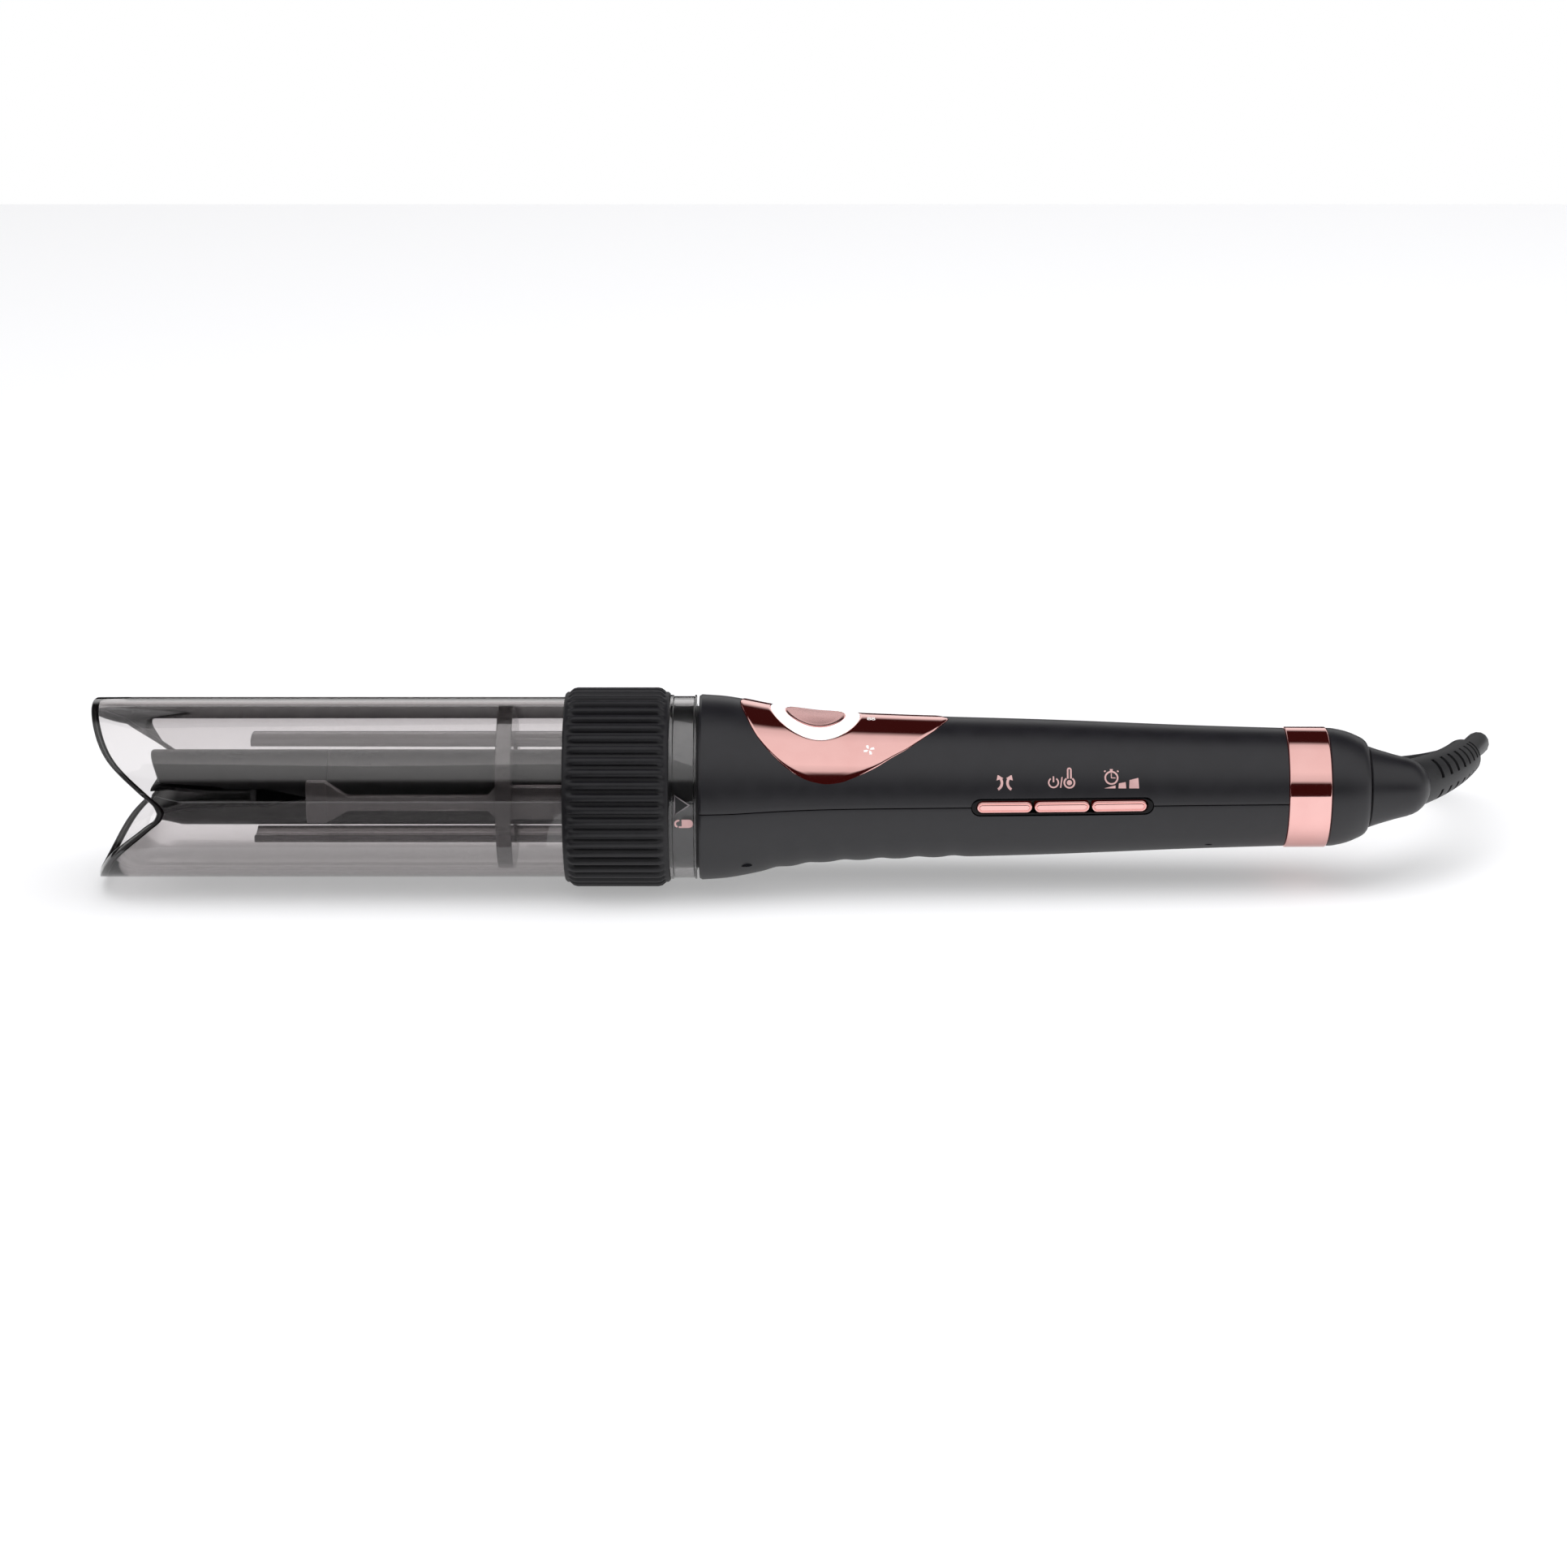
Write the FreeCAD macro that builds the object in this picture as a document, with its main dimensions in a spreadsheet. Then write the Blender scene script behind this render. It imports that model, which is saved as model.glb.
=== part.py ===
import FreeCAD, Part
import math
import os

import Sketcher
from FreeCAD import Placement, Rotation, Vector

# Automatic hair curler lying on its ribbed grip. Millimetres.
# +X runs from the clear chamber to the cord, +Z is up, the origin is under the middle of the body
# on the surface that the grip rests on. Stations are measured along the body's axis.

os.makedirs("parts", exist_ok=True)
doc = FreeCAD.newDocument("hair_curler")

# ---------------------------------------------------------------- driving dimensions
DIMENSIONS = {
    # smoked chamber and its grip
    "chamber_reach": 128.7, "chamber_r": 24.7, "chamber_wall": 2.2,
    "mouth_depth": 19.8, "mouth_flank_x": 6.0, "mouth_flank_z": 14.3,
    "mouth_root_x": 15.5, "mouth_root_z": 5.2,
    "grip_length": 28.6, "grip_wall": 1.6, "rib_height": 1.0, "rib_width": 2.2, "rib_count": 50,
    "rib_inset": 1.5, "skin_gap": 0.05, "collar_length": 7.4, "collar_step": 0.6, "collar_gap": 0.6,
    # guide cage
    "cage_r": 13.3, "cage_wall": 2.0, "cage_gap": 0.1, "bar_start": 43.1, "bar_width": 8.4,
    "spear_start": 58.9, "spear_head_length": 5.1, "spear_head_width": 11.5, "spear_neck": 4.0,
    "spear_slope": 6.2, "spear_fillet": 2.5, "disc_lead": 18.1, "disc_thickness": 4.2,
    "cage_ring_setback": 2.3, "cage_ring_length": 7.0,
    # turning barrel
    "barrel_start": 15.3, "barrel_r": 10.3, "barrel_wall": 1.2, "barrel_joint": 64.1,
    "barrel_setback": 3.3, "slot_mouth": 4.7, "slot_step": 2.9, "slot_step_at": 20.3, "slot_half": 2.5,
    "slot_taper_at": 31.1, "slot_end": 44.0, "lip_half": 1.35, "lip_wall": 1.0, "lip_length": 28.0,
    "lip_front": 1.5, "hub_length": 12.0, "shaft_r": 4.0, "shaft_bore": 2.4, "shaft_grip": 6.0,
    "shaft_tail": 1.0,
    "heater_length": 46.0, "heater_width": 12.0, "heater_height": 6.0, "fuse_r": 1.6,
    "fuse_length": 10.0, "fuse_inset": 12.0,
    # bulkhead, bushes and gears
    "bulkhead_lead": 24.3, "spigot_gap": 0.3, "bayonet_wall": 3.0, "running_gap": 0.05,
    "bush_length": 5.0, "bush_r": 8.0, "web_thickness": 3.5, "bulkhead_tail": 2.4,
    "frame_thickness": 4.0, "sleeve_r": 6.0, "slip_ring_r": 6.4, "slip_ring_width": 1.6,
    "slip_ring_pitch": 3.2, "slip_ring_count": 3, "gear_module": 0.6, "driven_teeth": 22,
    "pinion_teeth": 10, "gear_width": 5.0, "gear_setback": 12.7, "mesh_slack": 0.05,
    "motor_shaft_r": 1.5, "gearbox_length": 9.0, "motor_width": 12.0, "motor_height": 10.0,
    "motor_length": 15.0, "bracket_gap": 1.4, "bracket_thickness": 1.4, "bracket_half": 9.0,
    "web_setback": 9.5, "sleeve_gap": 2.0, "brush_height": 0.8, "brush_holder_height": 4.0,
    # handle
    "handle_length": 160.0, "handle_wall": 2.4, "seam": 0.1, "handle_front_r": 25.5,
    "shoulder_at": 8.5, "shoulder_r": 24.8, "neck_at": 21.8, "neck_r": 22.3, "waist_at": 34.0,
    "waist_r": 20.75, "hold_at": 55.0, "hold_r": 19.7, "middle_at": 96.0, "middle_r": 18.5,
    "taper_back": 25.0, "taper_r": 16.95, "tail_r": 16.2, "boss_front": 12.7, "boss_front_side": 15.5,
    "boss_rear_inset": 21.0, "boss_rear_side": 8.5, "screw_sink": 1.1, "screw_head_height": 1.5,
    # top panel and its button
    "panel_front": 11.3, "panel_length": 56.7, "panel_half": 19.5, "panel_depth": 1.3,
    "panel_proud": 0.25, "panel_gap": 0.15, "button_at": 31.7, "button_r": 8.2, "ring_gap": 0.15,
    "ring_r": 12.15, "ring_proud": 0.5, "button_travel": 1.0, "flange_out": 1.2, "stem_r": 2.0,
    "board_drop": 10.15, "board_thickness": 1.2, "board_front": 20.0, "board_length": 45.7,
    "board_half": 11.5, "post_r": 1.6, "post_front": 23.5, "post_front_side": 10.0,
    "post_rear": 60.2, "post_rear_side": 8.0, "led_circle_r": 10.3, "led_size": 1.6,
    # side buttons
    "bezel_front": 73.8, "bezel_length": 49.3, "bezel_height": 4.7, "bezel_rim": 1.45,
    "bezel_inset": 0.3, "bezel_back": 2.5, "side_button_length": 14.9, "side_button_height": 3.1,
    "side_button_pitch": 15.55, "side_button_first": 75.3, "side_travel": 0.8,
    # electronics
    "main_front": 48.7, "main_back": 27.0, "main_half": 11.0, "main_drop": 2.8,
    # tail, swivel and cord
    "band_length": 11.6, "band_proud": 0.35, "spigot_length": 7.3, "cap_length": 11.3,
    "cap_floor": 2.2, "journal_r": 5.2, "swivel_gap": 0.3, "cone_length": 17.5, "cone_r": 11.1,
    "relief_back": 8.5, "relief_base_r": 6.9, "relief_tip_r": 5.2, "relief_bend_r": 73.8,
    "relief_start_angle": 38.0, "relief_sweep": 28.0, "cord_r": 3.25,
    "hank_run": 88.0, "hank_turn_r": 19.5, "hank_setback": 109.5, "hank_offset": 40.6,
    "tie_wall": 0.7, "tie_width": 12.0, "tie_gap": 0.1,
    "plug_length": 36.0, "plug_width": 35.3, "plug_height": 13.7, "plug_setback": 124.0,
    "pin_r": 2.0, "pin_length": 19.0, "pin_spacing": 19.0, "plug_relief_length": 8.0,
    "screw_r": 1.1, "screw_head_r": 2.0, "boss_r": 2.6,
}

sheet = doc.addObject("Spreadsheet::Sheet", "sizes")
for row, (alias, number) in enumerate(DIMENSIONS.items(), start=1):
    sheet.set(f"A{row}", alias)
    sheet.set(f"B{row}", str(number))
    sheet.setAlias(f"B{row}", alias)
doc.recompute()


class Size:
    """A length known both as a number and as the expression that binds it to the sheet."""

    def __init__(self, number, text=None):
        self.number = float(number)
        self.text = text if text is not None else repr(float(number))

    def __add__(self, other):
        other = as_size(other)
        return Size(self.number + other.number, f"({self.text} + {other.text})")

    def __sub__(self, other):
        other = as_size(other)
        return Size(self.number - other.number, f"({self.text} - {other.text})")

    def __mul__(self, factor):
        factor = as_size(factor)
        return Size(self.number * factor.number, f"({self.text} * {factor.text})")

    def __truediv__(self, factor):
        factor = as_size(factor)
        return Size(self.number / factor.number, f"({self.text} / {factor.text})")

    def __neg__(self):
        return Size(-self.number, f"(0 - {self.text})")

    __radd__ = __add__
    __rmul__ = __mul__

    def __rsub__(self, other):
        return as_size(other) - self

    def __float__(self):
        return self.number


def as_size(value):
    return value if isinstance(value, Size) else Size(value)


class Sheet:
    """Reads a dimension of the sheet by its alias."""

    def __getattr__(self, alias):
        return Size(sheet.get(alias), f"sizes.{alias}")


d = Sheet()

# ---------------------------------------------------------------- stations along the axis
grip_rear = d.chamber_reach + d.grip_length
collar_rear = grip_rear + d.collar_length
handle_front = collar_rear + d.collar_gap
handle_rear = handle_front + d.handle_length
disc_start = d.chamber_reach - d.disc_lead
cage_ring_start = d.chamber_reach + d.cage_ring_setback
barrel_end = d.chamber_reach + d.barrel_setback
shaft_front = barrel_end - d.shaft_grip
bulkhead_start = handle_front - d.bulkhead_lead
gear_start = handle_front + d.gear_setback
gear_end = gear_start + d.gear_width
shaft_end = gear_end + d.shaft_tail
bracket_start = gear_end + d.bracket_gap
band_rear = handle_rear + d.band_length
cap_rear = band_rear + d.cap_length
cone_front = cap_rear + d.swivel_gap
body_length = cone_front + d.cone_length

chamber_bore = d.chamber_r - d.chamber_wall
spigot_r = chamber_bore - d.spigot_gap
grip_r = d.chamber_r + d.grip_wall
axis_height = grip_r + d.rib_height
cage_outer = d.cage_r + d.cage_wall
shell_tail_bore = d.tail_r - d.handle_wall
gear_offset = d.gear_module * (d.driven_teeth + d.pinion_teeth) / 2 + d.mesh_slack

nodes = {}


def bind(item, name, size):
    """Binds a property to the sheet."""
    item.setExpression(name, as_size(size).text)


def place(item, station, y=0.0, z=0.0):
    """Puts an item's own origin at a station on the axis, moved aside by y and z."""
    bind(item, "Placement.Base.x", as_size(station) - body_length / 2)
    bind(item, "Placement.Base.y", y)
    bind(item, "Placement.Base.z", axis_height + z)


def keep(label, item):
    """Names an item as a sub-part that is written out."""
    item.Label = label
    nodes[label] = item
    return item


# ---------------------------------------------------------------- ways of making a piece
def origin_plane(body, role):
    return next(item for item in body.Origin.OriginFeatures if item.Role == role)


def draw(sketch, outline):
    """Draws a closed outline of straight lines whose corners are bound to the sheet."""
    corners = [(as_size(u), as_size(v)) for u, v in outline]
    for first, second in zip(corners, corners[1:] + corners[:1]):
        start = Vector(first[0].number, first[1].number, 0)
        end = Vector(second[0].number, second[1].number, 0)
        sketch.addGeometry(Part.LineSegment(start, end), False)
    count = len(corners)
    joins = [Sketcher.Constraint("Coincident", i, 2, (i + 1) % count, 1) for i in range(count)]
    sketch.addConstraint(joins)
    for i, corner in enumerate(corners):
        for kind, axis, size in (("DistanceX", -2, corner[0]), ("DistanceY", -1, corner[1])):
            if abs(size.number) < 1e-9:
                sketch.addConstraint(Sketcher.Constraint("PointOnObject", i, 1, axis))
            else:
                index = sketch.addConstraint(Sketcher.Constraint(kind, -1, 1, i, 1, size.number))
                sketch.setExpression(f"Constraints[{index}]", size.text)


def new_sketch(body, name, role):
    sketch = body.newObject("Sketcher::SketchObject", name)
    sketch.AttachmentSupport = (origin_plane(body, role), [""])
    sketch.MapMode = "FlatFace"
    return sketch


def turned(name, station, outline, y=0.0, z=0.0):
    """A body turned about the axis from an outline of (along, radius) corners."""
    body = doc.addObject("PartDesign::Body", name)
    sketch = new_sketch(body, name + "_section", "XZ_Plane")
    draw(sketch, outline)
    turn = body.newObject("PartDesign::Revolution", name + "_turn")
    turn.Profile = sketch
    turn.ReferenceAxis = (sketch, ["H_Axis"])
    turn.Angle = 360
    place(body, station, y, z)
    return body


def tube(name, station, length, bore, radius, y=0.0, z=0.0):
    """A plain tube, or a rod when its bore is nothing."""
    outline = [(0, bore), (length, bore), (length, radius), (0, radius)]
    return turned(name, station, outline, y, z)


def padded(name, station, outline, height, role="XZ_Plane", y=0.0, z=0.0):
    """A body padded both ways from an outline drawn on one of its own planes."""
    body = doc.addObject("PartDesign::Body", name)
    sketch = new_sketch(body, name + "_outline", role)
    draw(sketch, outline)
    pad = body.newObject("PartDesign::Pad", name + "_pad")
    pad.Profile = sketch
    bind(pad, "Length", height)
    if hasattr(pad, "SideType"):
        pad.SideType = "Symmetric"
    else:
        pad.Midplane = True
    place(body, station, y, z)
    return body


def block(name, station, length, y_low, y_high, z_low, z_high):
    """A box from a station, between two sides and two heights about the axis."""
    item = doc.addObject("Part::Box", name)
    bind(item, "Length", length)
    bind(item, "Width", as_size(y_high) - y_low)
    bind(item, "Height", as_size(z_high) - z_low)
    place(item, station, y_low, z_low)
    return item


def combine(kind, name, *items):
    """A boolean of several items: Cut takes the rest out of the first."""
    if kind == "Cut":
        item = doc.addObject("Part::Cut", name)
        item.Base = items[0]
        rest = list(items[1:])
        item.Tool = rest[0] if len(rest) == 1 else combine("MultiFuse", name + "_tools", *rest)
        return item
    item = doc.addObject("Part::" + kind, name)
    if kind == "Compound":
        item.Links = list(items)
    else:
        item.Shapes = list(items)
    return item


def shaped(label, station, shape, y=0.0, z=0.0):
    """A piece whose shape is made here from the sheet's sizes, about its own station."""
    item = doc.addObject("Part::Feature", label)
    item.Shape = shape
    item.Placement = Placement(Vector(0, 0, 0), Rotation())
    place(item, station, y, z)
    return keep(label, item)


# ---------------------------------------------------------------- shape helpers
X_AXIS = Vector(1, 0, 0)
Z_AXIS = Vector(0, 0, 1)
FAR = 80.0


def wire_of(points):
    return Part.makePolygon(points + points[:1])


def prism(points, direction):
    """A straight prism on a closed outline of points."""
    return Part.Face(wire_of(points)).extrude(direction)


def pill(centre_x, length, height, y_low, y_high):
    """A prism along Y with round ends, as a button or its hole."""
    r = float(height) / 2
    reach = float(length) / 2 - r
    signs = ((-1, -1), (1, -1), (1, 1), (-1, 1))
    corners = [Vector(centre_x + along * reach, y_low, up * r) for along, up in signs]
    right = Vector(centre_x + reach + r, y_low, 0)
    left = Vector(centre_x - reach - r, y_low, 0)
    edges = [
        Part.LineSegment(corners[0], corners[1]).toShape(),
        Part.Arc(corners[1], right, corners[2]).toShape(),
        Part.LineSegment(corners[2], corners[3]).toShape(),
        Part.Arc(corners[3], left, corners[0]).toShape(),
    ]
    return Part.Face(Part.Wire(edges)).extrude(Vector(0, y_high - y_low, 0))


def outline_points():
    """The handle's outline as (along, radius) from its front edge."""
    back = d.handle_length - d.taper_back
    pairs = [
        (0.0, d.handle_front_r), (d.shoulder_at, d.shoulder_r), (d.neck_at, d.neck_r),
        (d.waist_at, d.waist_r), (d.hold_at, d.hold_r), (d.middle_at, d.middle_r),
        (back, d.taper_r), (d.handle_length, d.tail_r),
    ]
    return [(float(x), float(r)) for x, r in pairs]


def outline_curve(offset):
    curve = Part.BSplineCurve()
    curve.interpolate([Vector(x, 0, r + offset) for x, r in outline_points()])
    return curve


def handle_radius(x, offset=0.0):
    """The handle's radius at a distance behind its front edge."""
    curve = outline_curve(offset)
    guess = 20.0
    for _ in range(4):
        guess = curve.value(curve.parameter(Vector(float(x), 0, guess))).z
    return guess


def skin(low, high):
    """The layer between two depths measured from the handle's outer surface."""
    inner = outline_curve(float(low))
    outer = outline_curve(float(high))
    edges = [
        outer.toShape(),
        Part.LineSegment(outer.EndPoint, inner.EndPoint).toShape(),
        inner.toShape(),
        Part.LineSegment(inner.StartPoint, outer.StartPoint).toShape(),
    ]
    face = Part.Face(Part.Wire(Part.__sortEdges__(edges)))
    return face.revolve(Vector(0, 0, 0), X_AXIS, 360)


def half_space(sign):
    """All that lies above (1) or below (-1) the handle's seam."""
    gap = float(d.seam) / 2
    low = gap if sign > 0 else -FAR
    high = FAR if sign > 0 else -gap
    length = float(d.handle_length) + 2 * FAR
    return Part.makeBox(length, 2 * FAR, high - low, Vector(-FAR, -FAR, low))


def rod_z(x, y, radius, low, high):
    return Part.makeCylinder(float(radius), high - low, Vector(float(x), y, low), Z_AXIS)


# ---------------------------------------------------------------- chamber
def chamber_tube():
    """Clear tube whose mouth is cut to a saddle: long above and below, short at the sides."""
    length = float(grip_rear)
    radius = float(d.chamber_r)
    outer = Part.makeCylinder(radius, length, Vector(0, 0, 0), X_AXIS)
    bore = Part.makeCylinder(float(chamber_bore), length, Vector(0, 0, 0), X_AXIS)
    flank = (float(d.mouth_flank_x), float(d.mouth_flank_z))
    root = (float(d.mouth_root_x), float(d.mouth_root_z))
    top = Vector(0, -FAR, radius)
    bottom = Vector(0, -FAR, -radius)
    edges = [
        Part.Arc(top, Vector(flank[0], -FAR, flank[1]), Vector(root[0], -FAR, root[1])).toShape(),
        Part.Arc(
            Vector(root[0], -FAR, root[1]),
            Vector(float(d.mouth_depth), -FAR, 0),
            Vector(root[0], -FAR, -root[1]),
        ).toShape(),
        Part.Arc(
            Vector(root[0], -FAR, -root[1]), Vector(flank[0], -FAR, -flank[1]), bottom
        ).toShape(),
        Part.LineSegment(bottom, Vector(-FAR, -FAR, -radius)).toShape(),
        Part.LineSegment(Vector(-FAR, -FAR, -radius), Vector(-FAR, -FAR, radius)).toShape(),
        Part.LineSegment(Vector(-FAR, -FAR, radius), top).toShape(),
    ]
    notch = Part.Face(Part.Wire(edges)).extrude(Vector(0, 2 * FAR, 0))
    return outer.cut(bore).cut(notch)


def grip_sleeve():
    """Rubber sleeve with a ring of ribs along the axis."""
    core_bore = d.chamber_r + d.skin_gap
    body = tube("grip_sleeve", d.chamber_reach, d.grip_length, core_bore, grip_r)
    rib = new_sketch(body, "grip_rib_outline", "YZ_Plane")
    bind(rib, "AttachmentOffset.Base.z", d.rib_inset)
    foot = grip_r - 0.4
    half = d.rib_width / 2
    draw(rib, [(-half, foot), (half, foot), (half * 0.7, axis_height), (-half * 0.7, axis_height)])
    pad = body.newObject("PartDesign::Pad", "grip_rib")
    pad.Profile = rib
    bind(pad, "Length", d.grip_length - d.rib_inset * 2)
    doc.recompute()
    ring = body.newObject("PartDesign::PolarPattern", "grip_ribs")
    ring.Originals = [pad]
    ring.Axis = (origin_plane(body, "X_Axis"), [""])
    ring.Angle = 360
    bind(ring, "Occurrences", d.rib_count)
    body.Tip = ring
    return keep("grip_sleeve", body)


def guide_cage():
    """Clear fork round the barrel: disc, rear ring, two bars and two spear-shaped side fingers."""
    finger_end = cage_ring_start + d.cage_ring_length
    spear_length = finger_end - d.spear_start
    head = d.spear_head_width / 2
    neck = d.spear_neck / 2
    disc_at = disc_start - d.spear_start
    slope_end = d.spear_head_length + d.spear_slope
    fillet = d.spear_fillet
    outline = [
        (0, -head), (d.spear_head_length, -head), (slope_end, -neck), (disc_at - fillet, -neck),
        (disc_at, -neck - fillet), (spear_length, -neck - fillet), (spear_length, neck + fillet),
        (disc_at, neck + fillet), (disc_at - fillet, neck), (slope_end, neck),
        (d.spear_head_length, head), (0, head),
    ]
    spears = padded("cage_spear_outline", d.spear_start, outline, cage_outer * 2 + 2)
    half_bar = d.bar_width / 2
    reach = cage_outer + 1
    bar_length = finger_end - d.bar_start
    bars = block("cage_bar_outline", d.bar_start, bar_length, -half_bar, half_bar, -reach, reach)
    outlines = combine("MultiFuse", "cage_finger_outlines", spears, bars)
    shell = tube("cage_shell", d.bar_start, bar_length, d.cage_r, cage_outer)
    fingers = combine("MultiCommon", "cage_fingers", outlines, shell)
    seat = chamber_bore - d.cage_gap
    disc = tube("cage_disc", disc_start, d.disc_thickness, d.cage_r, seat)
    ring = tube("cage_ring", cage_ring_start, d.cage_ring_length, d.cage_r, seat)
    return keep("guide_cage", combine("MultiFuse", "guide_cage", fingers, disc, ring))


def chamber_pieces():
    shaped("chamber_tube", 0.0, chamber_tube())
    grip_sleeve()
    guide_cage()
    collar_r = d.chamber_r + d.collar_step
    bore = spigot_r + 0.4
    edge = 0.6
    outline = [
        (0, bore), (d.collar_length, bore), (d.collar_length, collar_r - edge),
        (d.collar_length - edge, collar_r), (edge, collar_r), (0, collar_r - edge),
    ]
    keep("lock_collar", turned("lock_collar", grip_rear, outline))


# ---------------------------------------------------------------- turning barrel
def barrel_pieces():
    bore = d.barrel_r - d.barrel_wall
    front_length = d.barrel_joint - d.barrel_start
    edge = 0.5
    front_outline = [
        (0, bore), (front_length, bore), (front_length, d.barrel_r), (edge, d.barrel_r),
        (0, d.barrel_r - edge),
    ]
    front = turned("barrel_front_blank", d.barrel_start, front_outline)
    before = 2.0
    slot_outline = [
        (-before, -d.slot_mouth), (0, -d.slot_mouth), (d.slot_step_at, -d.slot_step),
        (d.slot_step_at, -d.slot_half), (d.slot_taper_at, -d.slot_half), (d.slot_end, 0),
        (d.slot_taper_at, d.slot_half), (d.slot_step_at, d.slot_half), (d.slot_step_at, d.slot_step),
        (0, d.slot_mouth), (-before, d.slot_mouth),
    ]
    slot = padded("barrel_slot", d.barrel_start, slot_outline, d.barrel_r * 2 + 4)
    keep("barrel_front", combine("Cut", "barrel_front", front, slot))

    rear_length = barrel_end - d.barrel_joint
    keep("barrel_rear", tube("barrel_rear", d.barrel_joint, rear_length, bore, d.barrel_r))

    # Two lips inside the slot, joined behind it, that hold the hair.
    lip_outer = d.lip_half + d.lip_wall
    lip_start = d.barrel_start + d.lip_front
    lips = block("lip_block", lip_start, d.lip_length, -bore, bore, -lip_outer, lip_outer)
    gap_length = d.lip_length - d.lip_front
    gap = block("lip_gap", d.barrel_start, gap_length, -bore - 1, bore + 1, -d.lip_half, d.lip_half)
    lip_round = tube("lip_round", d.barrel_start, d.lip_length + 10, 0, bore - d.skin_gap)
    solid_lips = combine("MultiCommon", "lip_inside", lips, lip_round)
    keep("slot_guide", combine("Cut", "slot_guide", solid_lips, gap))

    hub_front = barrel_end - d.hub_length
    hub_bore = d.shaft_r + d.skin_gap
    hub_r = bore - d.skin_gap
    keep("barrel_hub", tube("barrel_hub", hub_front, d.hub_length, hub_bore, hub_r))
    shaft_length = shaft_end - shaft_front
    keep("drive_shaft", tube("drive_shaft", shaft_front, shaft_length, d.shaft_bore, d.shaft_r))

    # The heater stands on edge between the barrel's walls and ends at the hub.
    half_width = d.heater_width / 2
    half_height = d.heater_height / 2
    heater_front = hub_front - d.heater_length
    width = (-half_width, half_width)
    height = (-half_height, half_height)
    keep("heater_block", block("heater_block", heater_front, d.heater_length, *width, *height))
    fuse_low = half_height + 0.1
    fuse_z = fuse_low + d.fuse_r
    fuse_front = heater_front + d.fuse_inset
    keep("thermal_fuse", tube("thermal_fuse", fuse_front, d.fuse_length, 0, d.fuse_r, z=fuse_z))


# ---------------------------------------------------------------- bulkhead, bushes, slip rings
frame_start = handle_front + d.shoulder_at - d.frame_thickness
bush_bore = d.shaft_r + d.running_gap
bush_seat = d.bush_r + d.skin_gap
web_rear = bulkhead_start + d.web_setback


def bulkhead_pieces():
    sleeve_r = spigot_r - d.bayonet_wall
    tail = handle_front - bulkhead_start
    tail_end = tail + d.bulkhead_tail
    tail_r = d.handle_front_r - d.handle_wall - 0.35
    web_end = web_rear - bulkhead_start
    web_front = web_end - d.web_thickness
    seat = web_end - d.bush_length
    outline = [
        (0, sleeve_r - 2.2), (0, sleeve_r), (8.5, sleeve_r), (8.5, spigot_r), (tail, spigot_r),
        (tail, tail_r), (tail_end, tail_r), (tail_end, spigot_r - 2.4), (web_end, spigot_r - 2.4),
        (web_end, bush_seat), (seat, bush_seat), (seat, d.bush_r - 1.5), (seat - 1.5, d.bush_r - 1.5),
        (seat - 1.5, d.bush_r + 2.5), (web_front, d.bush_r + 2.5), (web_front, sleeve_r - 2.2),
    ]
    keep("front_bulkhead", turned("front_bulkhead", bulkhead_start, outline))
    keep("front_bush", tube("front_bush", web_rear - d.bush_length, d.bush_length, bush_bore, d.bush_r))
    bayonet_front = bulkhead_start + 0.2
    keep(
        "bayonet_ring",
        tube("bayonet_ring", bayonet_front, 8.1, sleeve_r + d.running_gap, spigot_r),
    )

    frame_r = d.shoulder_r - d.handle_wall - 0.25
    length = d.frame_thickness
    frame_outline = [
        (0, bush_seat), (length, bush_seat), (length, bush_seat + 2.5), (length - 1.6, bush_seat + 2.5),
        (length - 1.6, frame_r - 2), (length, frame_r - 2), (length, frame_r), (0, frame_r),
    ]
    keep("gear_frame", turned("gear_frame", frame_start, frame_outline))
    keep("rear_bush", tube("rear_bush", frame_start, length, bush_bore, d.bush_r))

    sleeve_start = web_rear + d.sleeve_gap
    sleeve_end = frame_start - 1.0
    sleeve_length = sleeve_end - sleeve_start
    keep(
        "slip_ring_sleeve",
        tube("slip_ring_sleeve", sleeve_start, sleeve_length, bush_bore, d.sleeve_r),
    )
    rings = []
    brushes = []
    brush_low = d.slip_ring_r + 0.04
    brush_high = brush_low + d.brush_height
    for number in range(int(float(d.slip_ring_count))):
        start = sleeve_start + 1.6 + d.slip_ring_pitch * number
        bore = d.sleeve_r + 0.02
        rings.append(tube(f"slip_ring_{number}", start, d.slip_ring_width, bore, d.slip_ring_r))
        brush_start = start + 0.3
        brushes.append(block(f"brush_{number}", brush_start, 1.0, -1.5, 1.5, brush_low, brush_high))
    keep("slip_rings", combine("Compound", "slip_rings", *rings))
    keep("brushes", combine("Compound", "brushes", *brushes))
    holder_length = frame_start - web_rear
    holder_high = brush_high + d.brush_holder_height
    holder = block("brush_holder", web_rear, holder_length, -5, 5, brush_high, holder_high)
    keep("brush_holder", holder)


# ---------------------------------------------------------------- gears and motor
PRESSURE_ANGLE = math.radians(20)
TOOTH_SHARE = 0.44


def involute(angle):
    return math.tan(angle) - angle


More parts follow.
